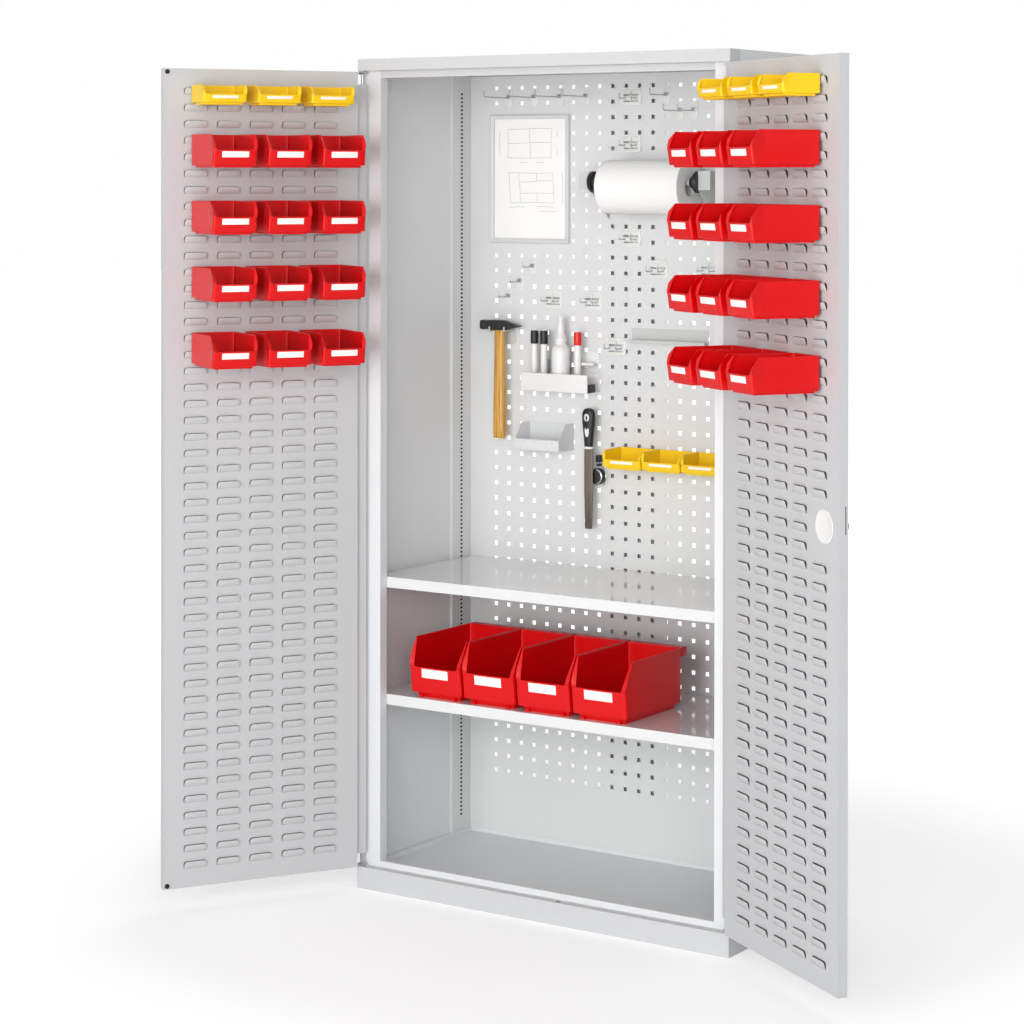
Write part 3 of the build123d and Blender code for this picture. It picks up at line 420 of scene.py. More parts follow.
def cleanUp(piece):
    # merges doubles and turns the faces outwards
    work = bmesh.new()
    work.from_mesh(piece.data)
    bmesh.ops.remove_doubles(work, verts=work.verts, dist=0.02 * mm)
    bmesh.ops.recalc_face_normals(work, faces=work.faces)
    work.to_mesh(piece.data)
    work.free()
    piece.data.set_sharp_from_angle(angle=crease)
    return piece


hinges = {"side": 497.0, "front": -233.0, "left": -121.0, "right": 147.3}
panelFace = 221.0  # front of the perforated panel
holes = {"left": -418.0, "low": 207.0, "pitch": 38.0}


def swing(points, side):
    # closed left door to its open place, or mirrored to the right one; millimetres in, metres out
    points = np.array(points, float)
    turn = math.radians(hinges[side])
    pivot = np.array([-hinges["side"], hinges["front"]])
    if side == "right":
        points[:, 0] *= -1
        pivot[0] *= -1
    flat = points[:, :2] - pivot
    turned = np.stack([flat[:, 0] * math.cos(turn) - flat[:, 1] * math.sin(turn),
                       flat[:, 0] * math.sin(turn) + flat[:, 1] * math.cos(turn)], 1) + pivot
    return np.column_stack([turned, points[:, 2]]) * mm


def boardPlate(x, z, width, height, thick, radius):
    # rounded rectangle on the panel: its outline is repeated forward and shrinks at the front edge
    loops = []
    for inset, depth in ((0.4, 0.0), (0.0, 0.4), (0.0, thick - 0.8), (0.25, thick - 0.25), (0.9, thick)):
        outline = roundedOutline(width / 2 - inset, -height / 2 + inset, height / 2 - inset, radius - inset,
                                 arc=6, side=0)
        loops.append(np.column_stack([x + outline[:, 0], np.full(len(outline), panelFace - depth), z + outline[:, 1]]))
    return np.concatenate(loops), cappedFaces(len(loops), len(loops[0]))


def holeSpot(column, row):
    # middle of a hole of the panel, counted from the left and from below
    return holes["left"] + holes["pitch"] * column, holes["low"] + holes["pitch"] * row


def placed(name, shapes, material, body, slotName, *replaced, side=None):
    # joins shapes in millimetres, swings them with a door if one is named, and cleans the mesh
    points, faces = joinShapes(shapes)
    points = swing(points, side) if side else points * mm
    piece = cleanUp(addPiece(name, points, faces, material, body))
    if replaced:
        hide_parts(*replaced)
    return piece


binSizes = {
    "red": {"width": 106, "depth": 160, "height": 76, "wall": 1.8, "foot": 7, "inset": 8, "slant": 10.6,
            "low": 40.3, "corner": 5, "lip": 6, "label": (64, 15.5, 38.6)},
    "yellow": {"width": 106, "depth": 88, "height": 46, "wall": 1.8, "foot": 7, "inset": 8, "slant": 6.4,
               "low": 24.4, "corner": 4, "lip": 5, "label": (62, 8.0, 22.6)},
    "large": {"width": 146, "depth": 252, "height": 140, "wall": 2.2, "foot": 15, "inset": 12, "slant": 19.6,
              "low": 74.2, "corner": 6, "lip": 9, "label": (75, 22.0, 71.0)},
}
binLean = 0.035  # how far the front wall leans back at its foot, as a share of the depth
binHook = {"below": 4.0, "thick": 1.6, "drop": 7.0, "side": 8.0}  # flange behind the rim that hangs in a louvre


def binShape(size):
    # one closed skin: under the foot, up the outside, over the rim, down the inside to the floor.
    # The rim is at full height, and falls in a straight line over the slant to the low front wall.
    loops = []
    depth, height, low, slant = size["depth"], size["height"], size["low"], size["slant"]
    lean = depth * binLean

    def loop(inset, z, drop=None, lip=0.0):
        front = depth - lean * max(0.0, 1 - z / low) if drop is None else depth
        outline = roundedOutline(size["width"] / 2 - inset, inset, front - inset, max(size["corner"] - inset, 0.8),
                                 arc=5, side=9)
        if drop is None:
            rise = np.full(len(outline), float(z))
        else:
            share = np.clip((outline[:, 1] + inset - (depth - slant)) / slant, 0, 1)
            rise = height + (low - height) * share - drop
            if lip:
                wide = lip * np.clip(share * 6, 0, 1) * (np.abs(outline[:, 0]) > size["width"] * 0.35)
                outline = outline - np.column_stack([np.sign(outline[:, 0]) * wide, 0 * wide])
        loops.append(np.column_stack([outline, rise]))

    inset, foot, wall = size["inset"], size["foot"], size["wall"]
    loop(inset + 1.2, 0.0)
    loop(inset + 0.3, 0.3)
    loop(inset, 1.2)
    loop(inset, foot - 2.0)
    loop(1.4, foot - wall)
    loop(0.3, foot - wall + 0.4)
    loop(0.0, foot - wall + 1.6)
    loop(0.0, 0, drop=3.6)
    loop(-0.7, 0, drop=3.2)
    loop(-0.8, 0, drop=0.7)
    loop(-0.3, 0, drop=0.0)
    loop(wall - 0.2, 0, drop=0.0, lip=size["lip"])
    loop(wall + 0.2, 0, drop=0.7, lip=size["lip"])
    loop(wall + 0.3, 0, drop=2.5, lip=size["lip"] * 0.9)
    loop(wall + 0.4, 0, drop=6.0)
    loop(wall + 1.0, foot + 4.0)
    loop(wall + 2.0, foot + 1.0)
    loop(wall + 4.5, foot)
    return np.concatenate(loops), cappedFaces(len(loops), len(loops[0]))


def onFront(shape, size):
    # moves a flat shape onto the front wall and leans it as the wall leans
    points, faces = shape
    points[:, 1] += size["depth"] - size["depth"] * binLean * np.clip(1 - points[:, 2] / size["low"], 0, 1)
    return points, faces


def labelShape(size):
    # thin card with rounded corners
    wide, tall, top = size["label"]
    return onFront(softBlock(-wide / 2, wide / 2, -0.25, 0.55, top - tall, top, 0.25), size)


def padShape(size):
    # raised frame round the card
    wide, tall, top = size["label"]
    return onFront(softBlock(-wide / 2 - 2.4, wide / 2 + 2.4, -0.6, 0.25, top - tall - 1.8, top + 0.8, 0.3), size)


def hungBin(size, stand):
    # bin with the flange behind its rim, the lip that hangs in a louvre, and three ribs between the two
    top = size["height"] - binHook["below"]
    half = size["width"] / 2 - binHook["side"]
    flange = softBlock(-half, half, -stand, 1.2, top - binHook["thick"], top, 0.5)
    lip = softBlock(-half + 0.12, half - 0.12, -stand + 0.1, -stand + binHook["thick"], top - binHook["drop"],
                    top - 0.12, 0.5)
    ribs = [softBlock(x - 0.8, x + 0.8, -stand + 0.4, 1.0, top - 5.0, top - 0.4, 0.3)
            for x in (-half + 8, 0, half - 8)]
    return [binShape(size), padShape(size), flange, lip] + ribs


def moved(shape, place, turned=False):
    # a shape at its place, turned half round about its upright axis first where that is asked
    points = np.array(shape[0], float)
    if turned:
        points[:, :2] *= -1
    return points + np.array(place, float), shape[1]


louvres = {"first": 98.0, "pitch": 38.0, "height": 16.0, "lift": 4.8, "rows": 48, "columns": 5, "columnPitch": 80.0,
           "centre": 260.0, "width": 54.0, "round": 7.0, "slit": 0.8, "crease": 30.0}
doorSheet = {"hingeEdge": -480.0, "closingEdge": -1.25, "low": 54.5, "high": 1944.5, "gap": 1.2, "face": -218.0,
             "thick": 0.9}
doorRows = {"louvres": (47, 44, 40, 36, 32), "centre": 248.0, "pitch": 132.0, "stand": 6.7, "play": 0.3, "count": 3}


def doorBins(side):
    for row, louvre in enumerate(doorRows["louvres"], 1):
        kind, material = ("yellow", yellowMoulded) if row == 1 else ("red", redMoulded)
        size = binSizes[kind]
        top = louvres["first"] + louvre * louvres["pitch"] + louvres["height"]
        y = doorSheet["face"] + doorRows["stand"] + doorRows["play"]
        z = top + doorRows["play"] - (size["height"] - binHook["below"] - binHook["thick"])
        shapes, cards = [], []
        for index in range(doorRows["count"]):
            x = -hinges["side"] + doorRows["centre"] + (index - 1) * doorRows["pitch"]
            shapes += [moved(shape, (x, y, z)) for shape in hungBin(size, doorRows["stand"])]
            cards.append(moved(labelShape(size), (x, y, z)))
        placed(f"{side}Bins{row}", shapes, material, f"{side}_door", f"{kind}_plastic", f"{side}_bins_{row}", side=side)
        placed(f"{side}Labels{row}", cards, labelCard, f"{side}_door", "paper", side=side)


for doorSide in ("left", "right"):
    doorBins(doorSide)

boardBins = {"first": 5.0, "pitch": 108.0, "stand": 5.0, "foot": 994.0, "count": 3}
shapes, cards = [], []
for index in range(boardBins["count"]):
    place = (boardBins["first"] + index * boardBins["pitch"], panelFace - boardBins["stand"], boardBins["foot"])
    shapes += [moved(shape, place, turned=True) for shape in hungBin(binSizes["yellow"], boardBins["stand"])]
    cards.append(moved(labelShape(binSizes["yellow"]), place, turned=True))
placed("panelBins", shapes, yellowMoulded, "cabinet", "yellow_plastic", "board_bins")
placed("panelLabels", cards, labelCard, "cabinet", "paper")

largeBins = {"centre": -90.5, "pitch": 151.5, "front": -187.0, "foot": 460.0, "count": 4}


def largeBinShapes(size):
    # the bin, a ledge with a lip and two cheeks behind its rim, and two feet under its front
    half, tall, deep = size["width"] / 2, size["height"], size["depth"]
    shapes = [binShape(size), padShape(size), softBlock(-half, half, -24.0, 1.0, tall - 2.4, tall, 0.8),
              softBlock(-half + 0.15, half - 0.15, -23.85, -21.6, tall - 22.0, tall - 0.15, 0.8)]
    for side in (-1, 1):
        shapes.append(softBlock(side * half - 1.2 - side * 1.2, side * half + 1.2 - side * 1.2, -23.0, 1.0,
                                tall - 22.0, tall - 0.3, 0.8))
        shapes.append(softBlock(side * 48 - 5, side * 48 + 5, deep - 24, deep - 10, 0.2, 6.0, 0.8))
    return shapes


for index in range(largeBins["count"]):
    size, number = binSizes["large"], index + 1
    place = (largeBins["centre"] + (index - 1.5) * largeBins["pitch"], largeBins["front"] + size["depth"],
             largeBins["foot"])
    shapes = [moved(shape, place, turned=True) for shape in largeBinShapes(size)]
    placed(f"largeBin{number}", shapes, redMoulded, f"bin_{number}", "red_plastic", f"large_bin_{number}")
    card = moved(labelShape(size), place, turned=True)
    placed(f"largeLabel{number}", [card], labelCard, f"bin_{number}", "paper")
print("bins made")


lock = {"x": -58.25, "z": 992.0, "face": -240.0, "cover": 35.0}


def louvreCell():
    # window with round upper corners in its cell of the sheet, and the rim of the tongue that fills it
    half, tall, slit, radius = louvres["width"] / 2, louvres["height"], louvres["slit"], louvres["round"]
    turn = np.linspace(0, math.pi / 2, 5)
    right = np.stack([half - radius + radius * np.cos(turn), tall - radius + radius * np.sin(turn)], 1)
    left = right[::-1] * np.array([-1, 1])
    rim = np.concatenate([[[half, 0.0]], right, left, [[-half, 0.0]]])
    return rim + np.column_stack([np.sign(rim[:, 0]) * slit, np.where(rim[:, 1] > 1, slit, 0)])


def louvreTongue():
    # grid pushed out of the window: its width follows the rounded rim, and it rises from the sheet to its lift
    radius = louvres["round"]
    v = np.array([0.0, 0.12, 0.3, 0.56, 0.75, 0.88, 0.96, 1.0])
    height = v * louvres["height"]
    inside = np.clip(height - (louvres["height"] - radius), 0, radius)
    halfWidth = louvres["width"] / 2 - radius + np.sqrt(np.clip(radius ** 2 - inside ** 2, 0, None))
    lift = louvres["lift"] * (1 - (1 - v) ** 3.0) - 0.6 * (1 - v) ** 8
    s = np.array([-1.0, -0.9, -0.5, 0.5, 0.9, 1.0])
    crown = np.array([-0.9, -0.15, 0.0, 0.0, -0.15, -0.9])
    x = halfWidth[:, None] * s[None, :]
    y = doorSheet["face"] + lift[:, None] + crown[None, :] * np.clip(v * 4, 0, 1)[:, None] * 0.8
    z = height[:, None] + 0 * s[None, :]
    return np.stack([x.ravel(), y.ravel(), z.ravel()], 1), [f[::-1] for f in gridFaces(len(v), len(s)).tolist()]


def ringFaces(count):
    # between the window and its cell's border: the four corners are fanned to their shares of the window
    c, middle = count, count // 2
    faces = [[0, c, c + 1, 1]]
    faces += [[k, c + 1, k + 1] for k in range(1, middle - 1)]
    faces += [[middle - 1, c + 1, c + 2, middle]]
    faces += [[k, c + 2, k + 1] for k in range(middle, count - 2)]
    return faces + [[count - 2, c + 2, c + 3, count - 1], [count - 1, c + 3, c, 0]]


def louvreShapes(side):
    # flat margins round a grid of cells, each with its window and tongue; cells behind the lock stay flat
    window, count = louvreCell(), len(louvreCell())
    tongue, tongueFaces = louvreTongue()
    pitchX, pitchZ, y = louvres["columnPitch"], louvres["pitch"], doorSheet["face"]
    x0, x1 = doorSheet["hingeEdge"] + doorSheet["gap"], doorSheet["closingEdge"] - doorSheet["gap"]
    z0, z1 = doorSheet["low"] + doorSheet["gap"], doorSheet["high"] - doorSheet["gap"]
    left = -hinges["side"] + louvres["centre"] - 2.5 * pitchX
    base = louvres["first"] - (pitchZ - louvres["height"]) / 2
    xs = [left + k * pitchX for k in range(louvres["columns"] + 1)]
    zs = [base + k * pitchZ for k in range(louvres["rows"] + 1)]
    shapes = []

    def flat(ax, bx, az, bz):
        shapes.append((np.array([[ax, y, az], [bx, y, az], [bx, y, bz], [ax, y, bz]]), [[3, 2, 1, 0]]))

    for low, high in zip(zs, zs[1:]):
        flat(x0, xs[0], low, high)
        flat(xs[-1], x1, low, high)
    for ax, bx in list(zip(xs, xs[1:])) + [(x0, xs[0]), (xs[-1], x1)]:
        flat(ax, bx, z0, zs[0])
        flat(ax, bx, zs[-1], z1)
    for ax, bx in zip(xs, xs[1:]):
        for row, (low, high) in enumerate(zip(zs, zs[1:])):
            cx, cz = (ax + bx) / 2, louvres["first"] + row * pitchZ
            near = (abs(cx - lock["x"]) < lock["cover"] + louvres["width"] / 2
                    and abs(cz + louvres["height"] / 2 - lock["z"]) < lock["cover"] + louvres["height"])
            if side == "right" and near:
                flat(ax, bx, low, high)
                continue
            hole = np.column_stack([cx + window[:, 0], np.full(count, y), cz + window[:, 1]])
            corners = np.array([[bx, y, low], [bx, y, high], [ax, y, high], [ax, y, low]])
            shapes.append((np.concatenate([hole, corners]), ringFaces(count)))
            shapes.append((tongue + np.array([cx, 0.0, cz]), tongueFaces))
    return shapes


def louvrePanel(side):
    points, faces = joinShapes(louvreShapes(side))
    piece = addPiece(f"{side}LouvrePanel", points * mm, faces, doorShadeCoat, f"{side}_door")
    work = bmesh.new()
    work.from_mesh(piece.data)
    bmesh.ops.remove_doubles(work, verts=work.verts, dist=0.01 * mm)
    bmesh.ops.recalc_face_normals(work, faces=work.faces)
    facing = sum(face.normal.y * face.calc_area() for face in work.faces)
    if (facing < 0) != (side == "right"):  # the right panel is mirrored next, which turns it round once more
        bmesh.ops.reverse_faces(work, faces=work.faces)
    work.to_mesh(piece.data)
    work.free()
    place = np.empty(len(piece.data.vertices) * 3)
    piece.data.vertices.foreach_get("co", place)
    piece.data.vertices.foreach_set("co", swing(place.reshape(-1, 3) / mm, side).ravel())
    piece.data.set_sharp_from_angle(angle=math.radians(louvres["crease"]))
    thick = piece.modifiers.new("thickness", "SOLIDIFY")
    thick.thickness = doorSheet["thick"] * mm
    thick.offset = -1.0
    edges = piece.modifiers.new("crispEdges", "EDGE_SPLIT")
    edges.split_angle = math.radians(louvres["crease"])
    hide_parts(f"{side}_louvre_panel")


for doorSide in ("left", "right"):
    louvrePanel(doorSide)
print("louvre panels made")


penTray = {"x": holeSpot(3.02, 0)[0], "z": holeSpot(0, 25.34)[1], "width": 193.0, "depth": 62.0, "height": 44.0}
pens = {"y": panelFace - penTray["depth"] / 2, "z": penTray["z"] + 2, "bottle": 97.0}
penPlaces = ((20.0, blackMoulded, "black_plastic"), (48.0, blackMoulded, "black_plastic"),
             (146.0, redCap, "red_plastic"))


def penShape(offset, cap):
    # profile of the cap or of the barrel, turned round the pen's axis
    z = pens["z"]
    if cap:
        profile = [(0, z + 112), (9.4, z + 112), (9.6, z + 113), (9.7, z + 128), (9.6, z + 142), (9.0, z + 144),
                   (0, z + 144)]
    else:
        profile = [(0, z), (7.6, z), (8.4, z + 1.2), (8.4, z + 108), (7.2, z + 113), (0, z + 113)]
    return lathe(profile, (penTray["x"] + offset, pens["y"], 0), around=28)


def bottleShape():
    # body, shoulder, collar and long nozzle as one turned profile
    profile = [(0, 0), (21, 0), (22.6, 1.5), (22.6, 96), (21.5, 104), (17, 110), (13.5, 113), (13.5, 118), (14.5, 119),
               (14.5, 128), (11, 132), (9, 150), (5.6, 178), (4.4, 181), (0, 182)]
    return lathe([(r, pens["z"] + h) for r, h in profile], (penTray["x"] + pens["bottle"], pens["y"], 0), around=36)


barrels = [penShape(offset, False) for offset, material, slotName in penPlaces]
placed("pensAndBottle", barrels + [bottleShape()], whiteMoulded, "cabinet", "white_plastic", "pens_and_bottle")
for number, (offset, material, slotName) in enumerate(penPlaces, 1):
    placed(f"penCap{number}", [penShape(offset, True)], material, "cabinet", slotName)

roll = {"x": holeSpot(12.7, 0)[0], "y": 140.0, "z": holeSpot(0, 38.85)[1], "aside": 8.0, "drop": 11.7, "half": 113.5,
        "radius": 64.5, "core": 22.0, "axleHalf": 149.0}


def rollShape():
    # outside with slightly soft rims, ends, and the bore; a spiral edge shows as fine rings
    half, outer, core = roll["half"], roll["radius"], roll["core"]
    rings = np.linspace(outer - 2.0, core + 2.5, 12)
    profile = [(outer - 0.2, -half + 3), (outer, -half + 8), (outer, 0), (outer, half - 8), (outer - 0.2, half - 3),
               (outer - 1.2, half - 0.6)]
    profile += [(r, half - (0.25 if k % 2 else 0.0)) for k, r in enumerate(rings)]
    profile += [(core + 1.6, half), (core, half - 0.4), (core, -half + 0.4), (core + 1.6, -half)]
    profile += [(r, -half + (0.25 if k % 2 else 0.0)) for k, r in enumerate(rings[::-1])]
    profile += [(outer - 1.2, -half + 0.6)]
    profile = np.array(profile)[::-1]
    around = 72
    place = (roll["x"] + roll["aside"], roll["y"], roll["z"] - roll["drop"])
    points = lathe(profile, place, axis="x", around=around)[0]
    return points, gridFaces(len(profile), around, closeRows=True, closeColumns=True).tolist()


placed("paperRoll", [rollShape()], paperWhite, "roll", "paper", "paper_roll")
print("pens and roll made")


hookSizes = {
    "single": {"plate": (20, 46, 2.5, 9.0), "wire": 1.5, "saddle": (13, 9), "rise": 15.0},
    "double": {"plate": (54, 44, 2.5, 9.0), "wire": 1.5, "bar": 40.0, "apart": 16.0, "reach": 32.0, "rise": 12.0},
    "singles": ((1, 44.35, 112), (3, 44.35, 112), (5, 44.35, 112), (7, 44.35, 112), (13, 44.35, 80), (14, 43.35, 80),
                (15, 43.35, 80), (2.9, 33.3, 46), (1.9, 32.3, 46), (1, 31.3, 46)),
    "doubles": ((10.4, 44.3), (10.4, 41.3), (10.4, 35.3), (12.4, 33.3), (16.1, 33.4), (14.3, 32.5), (4.5, 31.2),
                (7.5, 31.2), (9.3, 28.3)),
}


def wireArm(x, z, reach, rise, radius=1.5):
    # straight out of the panel, a quarter circle, then up, with a rounded tip
    bend = 5.0
    turn = np.linspace(0, math.pi / 2, 7)
    end = panelFace - 2.5 - reach + radius
    ys = np.concatenate([[panelFace - 1.0, panelFace - 3.0, (panelFace + end) / 2], end + bend - bend * np.sin(turn),
                         [end] * 4])
    zs = np.concatenate([[z, z, z], z + bend - bend * np.cos(turn),
                         z + np.array([bend + 2, rise - 1.0, rise - 0.3, rise])])
    radii = np.full(len(ys), radius)
    radii[-2:] = radius * 0.8, radius * 0.35
    return tube(np.column_stack([np.full(len(ys), float(x)), ys, zs]), radii, around=10)


def hookPieces():
    plates, wires, bars = [], [], []
    one, two = hookSizes["single"], hookSizes["double"]
    for column, row, reach in hookSizes["singles"]:
        x, z = holeSpot(column, row)
        plates.append(boardPlate(x, z, *one["plate"]))
        wires.append(wireArm(x, z, reach, one["rise"], one["wire"]))
        wide, tall = one["saddle"]
        bars.append(softBlock(x - wide / 2, x + wide / 2, panelFace - 5.5, panelFace - 2.0, z - 2, z + tall - 2, 0.8))
        plates.append(softBlock(x - 6, x + 6, panelFace - 4.2, panelFace - 2.2, z + 12, z + 15, 0.6))
    for column, row in hookSizes["doubles"]:
        x, z = holeSpot(column, row)
        plates.append(boardPlate(x, z, *two["plate"]))
        for side in (-1, 1):
            wires.append(wireArm(x + side * two["apart"], z - 4, two["reach"], two["rise"], two["wire"]))
        half = two["bar"] / 2
        bars.append(softBlock(x - half, x + half, panelFace - 5.0, panelFace - 2.0, z + 1.5, z + 6.0, 0.7))
        bars.append(softBlock(x - half, x + half, panelFace - 4.6, panelFace - 2.0, z - 13.0, z - 10.0, 0.7))
        plates.append(softBlock(x - 21, x + 21, panelFace - 4.2, panelFace - 2.2, z + 14, z + 16.5, 0.6))
        plates.append(softBlock(x - 1.2, x + 1.2, panelFace - 6.0, panelFace - 2.2, z - 12, z + 14, 0.5))
    return plates, wires, bars


plates, wires, bars = hookPieces()
placed("hookPlates", plates, clearHolder, "cabinet", "hook_grey", "single_hooks", "double_hooks")
placed("hookWires", wires, zinc, "cabinet", "zinc")
placed("hookBars", bars, zinc, "cabinet", "zinc")
print("hooks made")

hammer = {"x": holeSpot(0.87, 0)[0], "y": 187.0, "z": holeSpot(0, 29.45)[1], "half": 12.5, "length": 294.0}


def hammerPieces():
    x, y, z, half = hammer["x"], hammer["y"], hammer["z"], hammer["half"]
    head = [(-54, 9.6, 9.8, 5), (-53.2, 11.0, 11.2, 5), (-51, 11.9, 12.1, 4.5), (-42, 12.0, 12.2, 4.5),
            (-38, 11.0, 11.2, 4), (-33, 11.0, 11.2, 4), (-29, 12.4, 12.5, 6), (-16, 12.4, 12.5, 6), (10, 12.4, 12.5, 6),
            (15, 12.3, 12.3, 5), (20, 12.0, 11.2, 5), (40, 11.6, 6.2, 6), (56, 11.2, 1.9, 8), (58.6, 11.0, 1.2, 8),
            (59.8, 10.4, 0.6, 8)]
    rise = np.interp([row[0] for row in head], [15, 60], [0.0, -1.6])
    stations = [(x + a, y, z + up, b, c, n) for (a, b, c, n), up in zip(head, rise)]
    low = z - hammer["length"] + half
    handle = [(low, 14.6, 9.0, 2.4), (low + 0.8, 15.8, 9.9, 2.4), (low + 3, 16.8, 10.8, 2.5),
              (low + 25, 17.0, 11.0, 2.5),
              (low + 90, 16.2, 10.6, 2.5), (low + 170, 14.6, 10.0, 2.5), (low + 235, 13.6, 9.6, 2.5),
              (z - half - 6, 13.4, 9.4, 2.6), (z - half, 13.0, 7.0, 3), (z + half + 0.1, 12.6, 6.2, 3),
              (z + half + 0.5, 12.2, 5.8, 3)]
    return [loft(stations, "x", 40)], [loft([(h, x, y, a, b, n) for h, a, b, n in handle], "z", 40)]


headShapes, handleShapes = hammerPieces()
placed("hammerHead", headShapes, blackSteel, "hammer", "black_steel", "hammer_head")
placed("hammerHandle", handleShapes, ashWood, "hammer", "wood", "hammer_handle")

fileTool = {"x": holeSpot(7.7, 0)[0], "y": 191.0, "z": holeSpot(0, 21.7)[1], "blade": 194.0, "handle": 100.0}


def fileHandle():
    x, y, z = fileTool["x"], fileTool["y"], fileTool["z"]
    rows = [(6.5, 10.6, 8.2), (9, 11.0, 8.8), (22, 11.6, 9.4), (45, 14.2, 10.2), (62, 16.4, 10.8), (76, 17.4, 11.0),
            (87, 16.9, 10.8), (94, 14.6, 9.6), (98, 10.8, 7.4), (99.6, 6.0, 4.2), (100, 2.0, 1.4)]
    return loft([(z + h, x, y, a, b, 2.3) for h, a, b in rows], "z", 40)


def oval(dx, up, halfX, halfZ, lift):
    # flat ellipse that follows the handle's front, with a soft rim
    x, y, z = fileTool["x"] + dx, fileTool["y"], fileTool["z"] + up
    rows = [(y - 8.0, 1.0), (y - 10.0 - lift, 1.0), (y - 10.6 - lift, 0.95), (y - 10.9 - lift, 0.8)]
    return loft([(t, z, x, halfZ * k, halfX * k, 2) for t, k in rows], "y", 32)


def filePieces():
    x, y, z = fileTool["x"], fileTool["y"], fileTool["z"]
    low = z - fileTool["blade"]
    blade = [(low, 8.6, 1.6), (low + 1.2, 9.4, 2.3), (z - 97, 11.9, 2.5), (z - 1.0, 12.0, 2.5), (z + 2, 9.0, 2.4)]
    ring = [(z + 1.0, 10.4, 8.0, 2.6), (z + 1.6, 11.2, 8.8, 2.6), (z + 6.0, 11.2, 8.8, 2.6), (z + 6.6, 10.6, 8.2, 2.6)]
    placed("fileBlade", [loft([(h, x, y, a, b, 9) for h, a, b in blade], "z", 40)], fileSteel, "cabinet", "steel",
           "file_blade")
    placed("fileGrip", [fileHandle()], blackMoulded, "cabinet", "black_plastic", "file_handle")
    placed("fileInlays", [oval(0, 45.5, 6.0, 16, -0.6), oval(0, 77.5, 7.2, 10.8, 0.0),
                          loft([(h, x, y, a, b, n) for h, a, b, n in ring], "z", 40)],
           whiteMoulded, "cabinet", "white_plastic")
    placed("fileEye", [oval(0, 77.5, 2.4, 5.4, 0.4)], blackMoulded, "cabinet", "black_plastic")


filePieces()

clip = {"x": fileTool["x"] + 15.0, "z": fileTool["z"] - 67.0, "radius": 20.0}


def clipPieces():
    x, z, r = clip["x"], clip["z"], clip["radius"]
    body = [(0, 196.5), (11, 196.3), (14.6, 197.0), (15.2, 198.6), (r - 1.6, 199.6), (r, 202), (r, 216), (r - 1, 218.4),
            (0, 218.4)]
    chrome = [(15.4, 196.6), (17.0, 196.0), (18.8, 197.2), (18.9, 199.4), (17.4, 200.2), (15.6, 199.0), (15.4, 196.6)]
    angle = np.linspace(-1.1, 1.25, 20)
    arc = np.column_stack([x + (r + 5) * np.cos(angle), 214 - 8 * np.cos(angle * 1.3), z + (r + 5) * np.sin(angle)])
    placed("clipPlate", [boardPlate(x, z, 38.0, 62.0, 2.5, 12.0)], clearHolder, "cabinet", "hook_grey", "file_clip")
    placed("clipBody", [lathe(body, (x, 0, z), axis="y"),
                        softBlock(x - 2.0, x + 9.0, 201.0, 218.6, z + 35, z + 52, 1.6),
                        softBlock(x - 1.0, x + 7.0, 204.0, 218.6, z + 25, z + 31, 1.2)],
           blackMoulded, "cabinet", "black_plastic")
    placed("clipRing", [lathe(chrome, (x, 0, z), axis="y"), tube(arc, 1.0)], chromePlate, "cabinet", "chrome")


clipPieces()
print("hammer and file made")

drawing = {"left": holeSpot(0, 0)[0] - 14.0, "top": holeSpot(0, 43)[1] + 9.0, "width": 234.0, "height": 319.0,
           "bar": 11.0, "ink": 217.15}


def frameShape():
    # moulded section of each bar, carried round the rectangle with mitred corners
    x0, z1, w, h = drawing["left"], drawing["top"], drawing["width"], drawing["height"]
    section = np.array([(0.0, 0.0), (0.0, 8.4), (0.8, 10.6), (2.4, 11.8), (4.4, 12.0), (8.6, 9.4), (10.4, 8.6),
                        (11.0, 7.8), (11.0, 3.0), (11.0, 0.0)])
    cornerX = np.stack([x0 + section[:, 0], x0 + w - section[:, 0], x0 + w - section[:, 0], x0 + section[:, 0]], 1)
    cornerZ = np.stack([z1 - h + section[:, 0], z1 - h + section[:, 0], z1 - section[:, 0], z1 - section[:, 0]], 1)
    depth = np.repeat(panelFace - section[:, 1:2], 4, 1)
    points = np.stack([cornerX.ravel(), depth.ravel(), cornerZ.ravel()], 1)
    return points, gridFaces(len(section), 4, closeRows=True, closeColumns=True).tolist()


